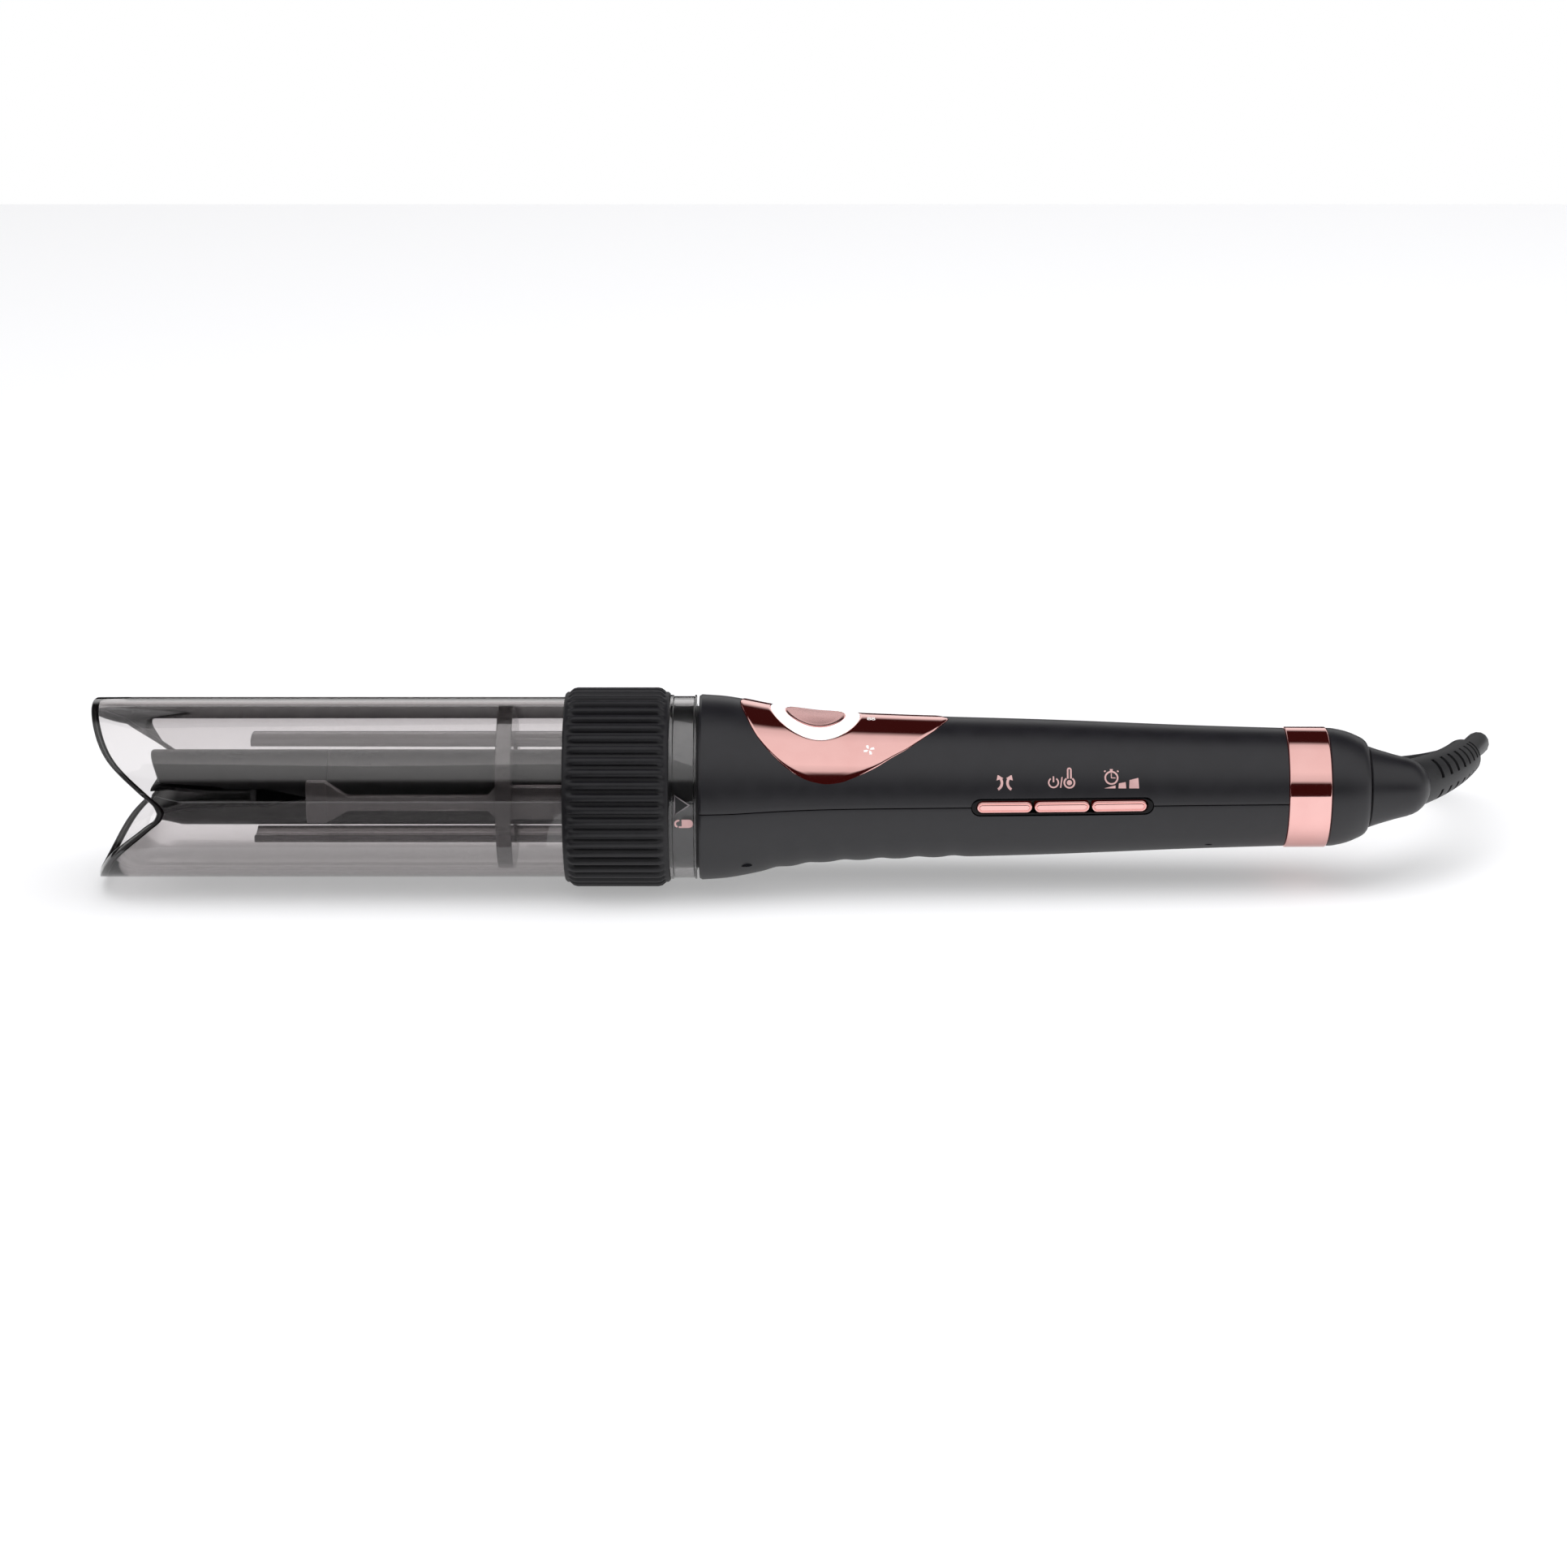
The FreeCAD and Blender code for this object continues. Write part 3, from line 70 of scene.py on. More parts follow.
# ---------------------------------------------------------------- camera
def add_camera():
    data = bpy.data.cameras.new("camera")
    data.lens = 92.0
    data.clip_end = 20.0
    camera = bpy.data.objects.new("camera", data)
    bpy.context.scene.collection.objects.link(camera)
    elevation = math.radians(17.5)
    distance = 1.1
    aim_ahead, aim_above = 5.3, 0.8
    aim = Vector((aim_ahead * MM, 0, AXIS_Z + aim_above * MM))
    camera.location = aim + distance * Vector((0, -math.cos(elevation), math.sin(elevation)))
    camera.rotation_euler = Euler((math.pi / 2 - elevation, 0, 0))
    bpy.context.scene.camera = camera


add_camera()


# ---------------------------------------------------------------- shader nodes
def colour(code, alpha=1.0):
    """Linear colour of an sRGB hex value."""
    shares = [int(code[i:i + 2], 16) / 255 for i in (1, 3, 5)]
    linear = [c / 12.92 if c <= 0.04045 else ((c + 0.055) / 1.055) ** 2.4 for c in shares]
    return (*linear, alpha)


def add(tree, kind, settings=None, inputs=None, stops=()):
    """Adds a node with its settings; an input is a value, or a socket to link from. Stops are the
    places and colours of a colour ramp, in order."""
    node = tree.nodes.new("ShaderNode" + kind)
    for name, value in (settings or {}).items():
        setattr(node, name, value)
    for name, value in (inputs or {}).items():
        if isinstance(value, bpy.types.NodeSocket):
            tree.links.new(value, node.inputs[name])
        else:
            node.inputs[name].default_value = value
    for number, (place, shade) in enumerate(stops):
        elements = node.color_ramp.elements
        element = elements[number] if number < 2 else elements.new(place)
        element.position = place
        element.color = shade
    return node


def new_material(name, **values):
    """A material with one Principled shader, its plain values set on the shader's own sockets."""
    material = bpy.data.materials.new(name)
    material.use_nodes = True
    tree = material.node_tree
    shader = tree.nodes["Principled BSDF"]
    for socket, value in values.items():
        shader.inputs[socket.replace("_", " ")].default_value = value
    return material, tree, shader


def grained(name, shades, gloss, tone, relief, depth_mm, **values):
    """A material whose colour and gloss follow the noise tone and whose bumps follow the noise
    relief, both on Object coordinates. A noise is the size of its blobs in millimetres, its
    detail and its stretch. Gloss is the lowest and highest roughness, or None for a plain one."""
    material, tree, shader = new_material(name, **values)
    place = add(tree, "TexCoord").outputs["Object"]
    factors = []
    for size, detail, stretch in (tone, relief):
        mapping = add(tree, "Mapping", inputs={"Vector": place, "Scale": stretch})
        inputs = {"Vector": mapping.outputs["Vector"], "Scale": 1 / (size * MM), "Detail": detail}
        factors.append(add(tree, "TexNoise", inputs=inputs).outputs["Fac"])
    stops = list(zip((0.35, 0.65), map(colour, shades)))
    blend = add(tree, "ValToRGB", inputs={"Fac": factors[0]}, stops=stops)
    tree.links.new(blend.outputs["Color"], shader.inputs["Base Color"])
    if gloss:
        inputs = {"Value": factors[0], "To Min": gloss[0], "To Max": gloss[1]}
        tree.links.new(add(tree, "MapRange", inputs=inputs).outputs["Result"], shader.inputs["Roughness"])
    inputs = {"Height": factors[1], "Distance": depth_mm * MM, "Strength": 1.0}
    tree.links.new(add(tree, "Bump", inputs=inputs).outputs["Normal"], shader.inputs["Normal"])
    return material


EVEN = (1, 1, 1)


def plastic(name, low, high, roughness, grain_mm, depth_mm, **values):
    """Moulded plastic: a slight mottle of colour, uneven gloss and a fine moulded grain."""
    mottle = 14
    gloss = (roughness - 0.04, roughness + 0.04)
    tone, relief = (grain_mm * mottle, 2.0, EVEN), (grain_mm, 4.0, EVEN)
    return grained(name, (low, high), gloss, tone, relief, depth_mm, **values)


def metal(name, low, high, roughness, line_mm, stretch=EVEN, depth_mm=0.004, **values):
    """Metal whose gloss and colour follow fine turning or brushing lines."""
    gloss = (roughness * 0.7, roughness * 1.3)
    lines = (line_mm, 3.0, stretch)
    return grained(name, (low, high), gloss, lines, lines, depth_mm, Metallic=1.0, **values)


def smoked(name, tint, depth, gloss_roughness, clarity=1.0, base="#FFFFFF"):
    """Clear smoked polycarbonate: light is taken off by the thickness that it passes."""
    material, tree, _ = new_material(
        name, Base_Color=colour(base), Roughness=gloss_roughness, IOR=1.58, Transmission_Weight=clarity
    )
    output = tree.nodes["Material Output"]
    absorb = add(tree, "VolumeAbsorption", inputs={"Color": colour(tint), "Density": depth})
    tree.links.new(absorb.outputs["Volume"], output.inputs["Volume"])
    return material


# ---------------------------------------------------------------- materials
# Soft-touch lacquer over ABS: black with a broad satin sheen and a powdery grain.
SOFT_TOUCH = plastic("soft_touch_lacquered_abs", "#121116", "#16151A", 0.4, 0.35, 0.005,
                     Specular_IOR_Level=0.55)
# Vacuum-metallised ABS with a rose tint: a mirror with faint waves from the moulding below. A weak painted
# red glow (emission) reddens its dark reflections.
ROSE_GOLD = metal("rose_gold_metallised_abs_painted_glow", "#EDBCB7", "#F0C1BC", 0.07, 9.0, depth_mm=0.006,
                  Emission_Color=colour("#FF1408"), Emission_Strength=0.03)
# The same lacquer over a finer texture: a satin rose for the thumb.
SATIN_ROSE = metal("satin_rose_gold_abs", "#E0A39F", "#E6ABA7", 0.26, 0.3, depth_mm=0.003)
# Smoked polycarbonate: the outer tube, glass-clear with warm grey edges.
SMOKED = smoked("smoked_polycarbonate", "#8F7C7E", 165.0, 0.015)
SMOKED_COLLAR = smoked("smoked_polycarbonate_collar", "#7A6D70", 110.0, 0.05)
SMOKED_CAGE = smoked("smoked_polycarbonate_cage", "#746A6C", 240.0, 0.12, 0.82, "#C9C2C3")
# Thermoplastic rubber: dull, dry and slightly dusty between the ribs.
GRIP_RUBBER = plastic("thermoplastic_rubber_grip", "#100F13", "#151418", 0.5, 0.3, 0.01,
                      Specular_IOR_Level=0.4)
# Ceramic-filled coating on aluminium: dark grey with a fine mist of sprayed specks.
BARREL_FRONT_COAT = plastic("ceramic_coating_front", "#0C0C0D", "#111112", 0.34, 0.25, 0.006,
                            Specular_IOR_Level=0.25)
BARREL_REAR_COAT = plastic("ceramic_coating_rear", "#161617", "#1B1B1C", 0.36, 0.25, 0.006,
                           Specular_IOR_Level=0.3)
# Heat-proof nylon with glass fibre: black and satin.
LIP_PLASTIC = plastic("glass_filled_nylon", "#050506", "#080809", 0.25, 0.4, 0.004,
                      Specular_IOR_Level=0.3)
HUB_PLASTIC = plastic("polyphenylene_sulphide", "#1A1A1C", "#222225", 0.45, 0.4, 0.012)
# Opal polycarbonate: a white light guide with its lamps off, kept bright by a painted glow (emission).
OPAL = plastic("opal_polycarbonate_painted_glow", "#F6F7F7", "#FDFDFD", 0.3, 0.4, 0.003,
               Subsurface_Weight=0.2, Subsurface_Scale=0.002, Emission_Color=colour("#FFFFFF"),
               Emission_Strength=0.35)
# High-gloss ABS: piano black with a clear coat.
GLOSS_BLACK = plastic("gloss_black_abs", "#050406", "#080709", 0.12, 0.6, 0.001, Specular_IOR_Level=0.2)
# Flexible PVC: the cord and its strain relief, satin with a fine extruded grain.
CORD_PVC = plastic("flexible_pvc", "#19191B", "#202022", 0.48, 0.3, 0.01)
PLUG_PVC = plastic("moulded_pvc_plug", "#1C1C1E", "#232326", 0.48, 0.35, 0.02)
# Acetal and nylon: pale engineering plastics inside the handle.
ACETAL = plastic("acetal", "#E4E2DA", "#EEECE6", 0.3, 0.5, 0.004)
NYLON = plastic("natural_nylon", "#CFC9B8", "#DAD5C6", 0.38, 0.5, 0.006)
FUSE = plastic("epoxy_sealed_fuse", "#A9A49B", "#B8B3AA", 0.35, 0.5, 0.006)
BLACK_EPOXY = plastic("black_epoxy_component", "#17171A", "#1F1F22", 0.4, 0.4, 0.006)
BOARD = plastic("solder_masked_board", "#134A31", "#1A5A3D", 0.28, 1.2, 0.006, Coat_Weight=0.3)
CAPACITOR = plastic("shrink_sleeve", "#22314F", "#293A5C", 0.3, 0.5, 0.004)
LAMP = plastic("lamp_lens", "#F1F0E2", "#FAF9F0", 0.2, 0.5, 0.003)
# Metals inside: turned, drawn or stamped.
STEEL = metal("turned_steel", "#A9ABAE", "#C2C4C6", 0.25, 0.3, stretch=(8, 1, 1))
MOTOR_STEEL = metal("drawn_motor_can", "#9A9DA1", "#B3B6BA", 0.3, 0.5, stretch=(1, 6, 6))
ALUMINIUM = metal("extruded_aluminium", "#B9BABC", "#CFD0D2", 0.32, 0.4, stretch=(1, 8, 8))
BRONZE = metal("sintered_bronze", "#9A6B3C", "#AE7D4C", 0.42, 0.25)
BRASS = metal("turned_brass", "#BE9A4E", "#CFAE66", 0.24, 0.3, stretch=(8, 1, 1))
PIN_BRASS = metal("nickelled_brass_pin", "#C9C6BE", "#DAD7CF", 0.2, 0.4, stretch=(8, 1, 1))
# Pad-printed marks: a thin matt ink.
PINK_INK = plastic("pink_pad_print", "#C9A09F", "#D6AEAC", 0.5, 0.3, 0.002)
WHITE_INK = plastic("white_pad_print", "#ECE9E8", "#F6F4F3", 0.5, 0.3, 0.002)
BLACK_INK = plastic("black_pad_print", "#0C0C0E", "#111113", 0.45, 0.3, 0.002)
GREY_INK = plastic("grey_pad_print", "#6E686B", "#787275", 0.5, 0.3, 0.002)
# Black-oxide steel: the screws that hold the handle's halves.
BLACK_STEEL = metal("black_oxide_steel", "#141416", "#1C1C1F", 0.4, 0.3)
# Painted shade at the tube's cut edge: a near-black bead in the wall stands in for the light that runs
# along the wall and is lost there, which makes the edge look nearly black.
TUBE_EDGE_PAINTED_SHADE = plastic("painted_shade_tube_edge", "#0D090B", "#171114", 0.3, 2.0, 0.002)
# Nylon hook-and-loop tape: a felt of tiny loops on a woven back, dull and soft-edged.
LOOPS = (0.8, 4.0, EVEN)
TIE_TAPE = grained("nylon_hook_and_loop", ("#17171A", "#2C2C31"), None, LOOPS, LOOPS, 0.3,
                   Roughness=0.85, Sheen_Weight=0.5, Sheen_Roughness=0.5)


# ---------------------------------------------------------------- ways of making a piece
def about_axis(station, radius, angle):
    """A point at a radius about the axis; the angle is in degrees from the top to the near side."""
    turn = math.radians(angle)
    return Vector((
        TIP_X + station * MM,
        -radius * math.sin(turn) * MM,
        AXIS_Z + radius * math.cos(turn) * MM,
    ))


def finish_mesh(name, mesh, material, body, sharp=32.0):
    """Turns a bmesh into a smooth-shaded piece that rides on a CAD body."""
    data = bpy.data.meshes.new(name)
    mesh.to_mesh(data)
    mesh.free()
    piece = bpy.data.objects.new(name, data)
    bpy.context.scene.collection.objects.link(piece)
    data.materials.append(material)
    data.shade_smooth()
    data.set_sharp_from_angle(angle=math.radians(sharp))
    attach(piece, body)
    return piece


def recalculated(mesh):
    """Merges doubles and points every face outwards."""
    bmesh.ops.remove_doubles(mesh, verts=mesh.verts, dist=1e-7)
    bmesh.ops.recalc_face_normals(mesh, faces=mesh.faces)
    return mesh


def ring_stack(count, levels, place, closed_ends=False, loop=False):
    """Rings of count points, one per level, joined by faces; place gives a point for a share of
    the way round and a level. A loop joins the last level to the first."""
    mesh = bmesh.new()
    bmesh.ops.create_circle(mesh, segments=count, radius=1.0)
    edges = list(mesh.edges)
    for _ in range(levels - 1):
        grown = bmesh.ops.extrude_edge_only(mesh, edges=edges)["geom"]
        edges = [item for item in grown if isinstance(item, bmesh.types.BMEdge)]
        lifted = [item for item in grown if isinstance(item, bmesh.types.BMVert)]
        edges = [edge for edge in edges if all(end in lifted for end in edge.verts)]
        bmesh.ops.translate(mesh, verts=lifted, vec=(0, 0, 1))
    for vertex in mesh.verts:
        share = math.atan2(vertex.co.y, vertex.co.x) / (2 * math.pi) % 1.0
        vertex.co = place(share, round(vertex.co.z))
    rims = [edge for edge in mesh.edges if edge.is_boundary]
    if loop:
        bmesh.ops.bridge_loops(mesh, edges=rims)
    elif closed_ends:
        bmesh.ops.holes_fill(mesh, edges=rims)
    return recalculated(mesh)


def lathe(profile, count=128, loop=True):
    """A body turned about the axis from (station, radius) corners, in order round its section."""
    def place(share, level):
        station, radius = profile[level]
        return about_axis(station, radius, 360 * share)

    return ring_stack(count, len(profile), place, loop=loop)


def rounded_profile(corners, radius, steps=4):
    """The corners of a closed section with each corner rounded to a radius."""
    result = []
    count = len(corners)
    for i, corner in enumerate(corners):
        here = Vector(corner)
        before = Vector(corners[i - 1]) - here
        after = Vector(corners[(i + 1) % count]) - here
        reach = min(radius, before.length * 0.45, after.length * 0.45)
        start = here + before.normalized() * reach
        end = here + after.normalized() * reach
        for step in range(steps + 1):
            share = step / steps
            point = (1 - share) ** 2 * start + 2 * share * (1 - share) * here + share ** 2 * end
            result.append((point.x, point.y))
    return result


def modified(piece, kind, **settings):
    """Adds a modifier and returns it."""
    modifier = piece.modifiers.new(kind.lower(), kind)
    for name, value in settings.items():
        setattr(modifier, name, value)
    return modifier


def applied(piece, sharp=32.0):
    """Applies a piece's modifiers and shades it again."""
    depsgraph = bpy.context.evaluated_depsgraph_get()
    data = bpy.data.meshes.new_from_object(piece.evaluated_get(depsgraph))
    piece.modifiers.clear()
    piece.data = data
    data.shade_smooth()
    data.set_sharp_from_angle(angle=math.radians(sharp))
    return piece


def cut_by(piece, cutter_mesh):
    """Cuts a closed bmesh out of a piece."""
    data = bpy.data.meshes.new("cutter")
    cutter_mesh.to_mesh(data)
    cutter_mesh.free()
    cutter = bpy.data.objects.new("cutter", data)
    bpy.context.scene.collection.objects.link(cutter)
    modified(piece, "BOOLEAN", operation="DIFFERENCE", solver="EXACT", object=cutter)
    applied(piece)
    bpy.data.objects.remove(cutter)


def pulled_out(corners, move):
    """A closed solid: a face on the corners, pulled out by a move."""
    mesh = bmesh.new()
    face = mesh.faces.new([mesh.verts.new(corner) for corner in corners])
    grown = bmesh.ops.extrude_face_region(mesh, geom=[face])["geom"]
    lifted = [item for item in grown if isinstance(item, bmesh.types.BMVert)]
    bmesh.ops.translate(mesh, verts=lifted, vec=move)
    return recalculated(mesh)


def upright_prism(outline, low, high):
    """A prism along Z on a closed outline of (station, y) points."""
    corners = [(TIP_X + s * MM, y * MM, AXIS_Z + low * MM) for s, y in outline]
    return pulled_out(corners, (0, 0, (high - low) * MM))


def crosswise_prism(outline, low, high):
    """A prism along Y on a closed outline of (station, z) points."""
    corners = [(TIP_X + s * MM, low * MM, AXIS_Z + z * MM) for s, z in outline]
    return pulled_out(corners, (0, (high - low) * MM, 0))


def stadium_outline(centre, length, height, steps=12):
    """A pill outline about a station, long along the axis."""
    radius = height / 2
    reach = length / 2 - radius
    points = []
    for side, first in ((1, -90), (-1, 90)):
        for step in range(steps + 1):
            angle = math.radians(first + 180 * step / steps)
            points.append((centre + side * reach + radius * math.cos(angle), radius * math.sin(angle)))
    return points


def smooth_through(points, x):
    """Height at x of a smooth curve through points, made of cubic pieces."""
    count = len(points)
    slopes = []
    for i in range(count):
        before = points[max(0, i - 1)]
        after = points[min(count - 1, i + 1)]
        slopes.append((after[1] - before[1]) / (after[0] - before[0]))
    x = min(max(x, points[0][0]), points[-1][0])
    i = next(n for n in range(count - 1) if x <= points[n + 1][0] + 1e-9)
    width = points[i + 1][0] - points[i][0]
    t = (x - points[i][0]) / width
    low, high = points[i][1], points[i + 1][1]
    first, last = slopes[i] * width, slopes[i + 1] * width
    return (
        low * (2 * t ** 3 - 3 * t ** 2 + 1) + first * (t ** 3 - 2 * t ** 2 + t)
        + high * (3 * t ** 2 - 2 * t ** 3) + last * (t ** 3 - t ** 2)
    )


# ---------------------------------------------------------------- cord
# The cord's route in metres: out of the strain relief, down behind the handle, round the hank
# and off it to the plug.
CORD_R = 3.25 * MM
HANK_X = 0.086984
HANK_Y = 0.068738
HANK_REACH = 0.044
LOW_LAYER = 0.00405
HIGH_LAYER = 0.01055
HANK_RADII = (0.0325, 0.026, 0.0195)
relief_exit = Vector((0.19648, 0.02814, AXIS_Z))
cord_route = [
    relief_exit,
    Vector((0.20258, 0.04184, AXIS_Z)),
    Vector((0.2056, 0.0561, 0.0225)),
    Vector((0.2027, 0.0698, 0.0147)),
    Vector((0.1933, 0.0810, 0.0082)),
    Vector((0.1776, 0.0890, 0.0044)),
    Vector((0.1610, 0.0939, 0.0041)),
]


def hank_bend(side, radius, height, first=0.0):
    """Control points round one end of the hank, 30 degrees apart; side 1 is the cord's end."""
    corner = radius / math.cos(math.radians(15))
    lead = radius * math.tan(math.radians(15))
    start = -90 if side > 0 else 90
    points = []
    for step in range(-1, 7):
        angle = math.radians(start + 15 + 30 * step)
        if step in (-1, 6):
            x = HANK_X + side * (HANK_REACH - lead)
            y = HANK_Y + (side if step == 6 else -side) * radius
        else:
            x = HANK_X + side * HANK_REACH + corner * math.cos(angle)
            y = HANK_Y + corner * math.sin(angle)
        if 30 * step + 15 >= first:
            points.append(Vector((x, y, height)))
    return points


def hank_points():
    """Three turns inwards on the lower layer, a climb, and three turns outwards on the upper."""
    outer, middle, inner = HANK_RADII
    low, high = LOW_LAYER, HIGH_LAYER
    points = hank_bend(1, outer, low, first=150)
    points += hank_bend(-1, outer, low)
    points += hank_bend(1, middle, low) + hank_bend(-1, middle, low)
    points += hank_bend(1, inner, low) + hank_bend(-1, inner, low)
    climb = Vector((HANK_X, HANK_Y - 0.0165, 0.0082))
    points += [climb]
    points += hank_bend(1, inner, high) + hank_bend(-1, inner, high)
    points += hank_bend(1, middle, high) + hank_bend(-1, middle, high)
    points += hank_bend(1, outer, high)
    return points


plug_low, plug_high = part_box("plug_body")
relief_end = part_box("plug_relief")[1].x
plug_line_y = HANK_Y + HANK_RADII[0]
plug_line_z = (plug_low.z + plug_high.z) / 2
cord_route += hank_points()
cord_route += [
    Vector((relief_end + 0.021, plug_line_y, HIGH_LAYER)),
    Vector((relief_end + 0.013, plug_line_y, 0.0082)),
    Vector((relief_end + 0.006, plug_line_y, plug_line_z)),
    Vector((relief_end - 0.001, plug_line_y, plug_line_z)),
]


def make_cord():
    curve = bpy.data.curves.new("mains_cord", "CURVE")
    curve.dimensions = "3D"
    curve.bevel_depth = CORD_R
    curve.bevel_resolution = 5
    curve.resolution_u = 8
    curve.use_fill_caps = True
    spline = curve.splines.new("NURBS")
    spline.points.add(len(cord_route) - 1)
    for point, place in zip(spline.points, cord_route):
        point.co = (*place, 1.0)
    spline.order_u = 3
    spline.use_endpoint_u = True
    curve.materials.append(CORD_PVC)
    cord = bpy.data.objects.new("mains_cord", curve)
    bpy.context.scene.collection.objects.link(cord)
    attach(cord, "swivel")
    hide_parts("cord", "cord_hank", "cord_end")
    return cord


mains_cord = make_cord()


def plug_outline():
    """Plan of the flat plug about its middle, from its face to its cord end."""
    length = (plug_high.x - plug_low.x) / MM
    half = (plug_high.y - plug_low.y) / MM / 2
    side = [(0.0, half - 2.2), (0.8, half - 0.7), (3.0, half), (length * 0.55, half),
            (length * 0.72, half - 2.2), (length * 0.86, half - 6.5), (length - 1.5, 8.4), (length, 6.6)]
    points = side + [(x, -w) for x, w in reversed(side)]
    return [(x - length / 2, w) for x, w in points]


def make_plug():
    """Flat two-pin plug with a waisted, softly rounded body and finger grooves."""
    height = plug_high.z - plug_low.z
    middle_x = (plug_low.x + plug_high.x) / 2
    corners = [(middle_x + x * MM, plug_line_y + y * MM, plug_low.z) for x, y in plug_outline()]
    mesh = pulled_out(corners, (0, 0, height))
    flat = [face for face in mesh.faces if abs(face.normal.z) > 0.9]
    rims = list({edge for face in flat for edge in face.edges})
    bmesh.ops.bevel(mesh, geom=rims, offset=2.6 * MM, offset_type="OFFSET", segments=5, profile=0.5,
                    affect="EDGES", material=-1)
    plug = finish_mesh("plug_moulding", mesh, PLUG_PVC, "swivel")
    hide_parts("plug_body")
    first_groove, groove_pitch = middle_x - 0.004, 0.0036
    groove_r, groove_length = 0.0012, 0.02
    turn = Matrix.Rotation(math.pi / 2, 4, "X")
    for sign in (-1, 1):
        for groove in range(4):
            x = first_groove + groove * groove_pitch
            cutter = bmesh.new()
            place = Matrix.Translation((x, plug_line_y, plug_line_z + sign * (height / 2 + groove_r / 2)))
            bmesh.ops.create_cone(cutter, cap_ends=True, segments=24, radius1=groove_r, radius2=groove_r,
                                  depth=groove_length, matrix=place @ turn)
            cut_by(plug, cutter)
    return plug


def along_x(profile, y, z, count=48):
    """A turned body about its own line along X; the profile is in metres as (x, radius)."""
    def place(share, level):
        x, radius = profile[level]
        turn = 2 * math.pi * share
        return Vector((x, y + radius * math.cos(turn), z + radius * math.sin(turn)))

    return ring_stack(count, len(profile), place, closed_ends=True)


def make_plug_relief():
    """Short ringed collar between the plug and its cord."""
    low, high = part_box("plug_relief")
    length = high.x - low.x
    root, taper, groove = 0.0048, 0.0009, 0.0007
    profile = [(low.x - 0.001, root)]
    rings = 4
    step = length / rings
    for ring in range(rings):
        start = low.x + length * ring / rings
        radius = root - taper * ring / rings
        profile += [(start, radius), (start + step * 0.55, radius), (start + step * 0.65, radius - groove),
                    (start + step * 0.9, radius - groove)]
    profile += [(high.x - 0.0002, 0.0039), (high.x, 0.0036)]
    piece = finish_mesh("plug_cord_collar", along_x(profile, plug_line_y, plug_line_z), PLUG_PVC, "swivel")
    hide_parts("plug_relief")
    return piece


def make_pins():
    """Two round pins with rounded tips."""
    low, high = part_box("plug_pins")
    radius = 0.002
    mesh = bmesh.new()
    for y in (low.y + radius, high.y - radius):
        profile = [(high.x, radius), (low.x + 0.0011, radius), (low.x + 0.0006, 0.0018),
                   (low.x + 0.0002, 0.0013), (low.x, 0.0005)]
        part = along_x(profile, y, plug_line_z, count=32)
        data = bpy.data.meshes.new("pin")
        part.to_mesh(data)
        part.free()
        mesh.from_mesh(data)
        bpy.data.meshes.remove(data)
    recalculated(mesh)
    pins = finish_mesh("plug_contact_pins", mesh, PIN_BRASS, "swivel")
    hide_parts("plug_pins")
    return pins


def make_ties():
    """Hook-and-loop straps round both sides of the hank."""
    ties_low, ties_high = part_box("cord_ties")
    width = ties_high.x - ties_low.x
    wall = 0.0007
    for side in (-1, 1):
        near = HANK_Y + side * (HANK_RADII[2] - CORD_R) - side * wall / 2
        far = HANK_Y + side * (HANK_RADII[0] + CORD_R) + side * wall / 2
        middle_y = (near + far) / 2
        half_y = abs(far - near) / 2
        middle_z = ties_high.z / 2
        half_z = ties_high.z / 2 - wall / 2

        def place(share, level):
            turn = 2 * math.pi * share
            squareness = 0.5
            y = math.copysign(abs(math.cos(turn)) ** squareness, math.cos(turn))
            z = math.copysign(abs(math.sin(turn)) ** squareness, math.sin(turn))
            x = ties_low.x + width * level / 4
            return Vector((x, middle_y + half_y * y, middle_z + half_z * z))

        mesh = ring_stack(72, 5, place)
        name = "far_cord_strap" if side > 0 else "near_cord_strap"
        strap = finish_mesh(name, mesh, TIE_TAPE, "swivel")
        modified(strap, "SOLIDIFY", thickness=wall, offset=0.0)
        modified(strap, "BEVEL", width=0.0002, segments=2, limit_method="ANGLE")
    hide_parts("cord_ties")


plug = make_plug()
plug_collar = make_plug_relief()
plug_pins = make_pins()
make_ties()


# ---------------------------------------------------------------- smoked chamber
TUBE_R = 24.7
MOUTH_FLANK = [(0.0, TUBE_R), (6.0, 14.3), (15.5, 5.2), (18.7, 2.4), (19.8, 0.0)]


def mouth_station(height):
    """Where the tube's mouth lies at a height above or below the axis: a saddle."""
    points = sorted((z, s) for s, z in MOUTH_FLANK)
    return smooth_through(points, min(abs(height), TUBE_R))


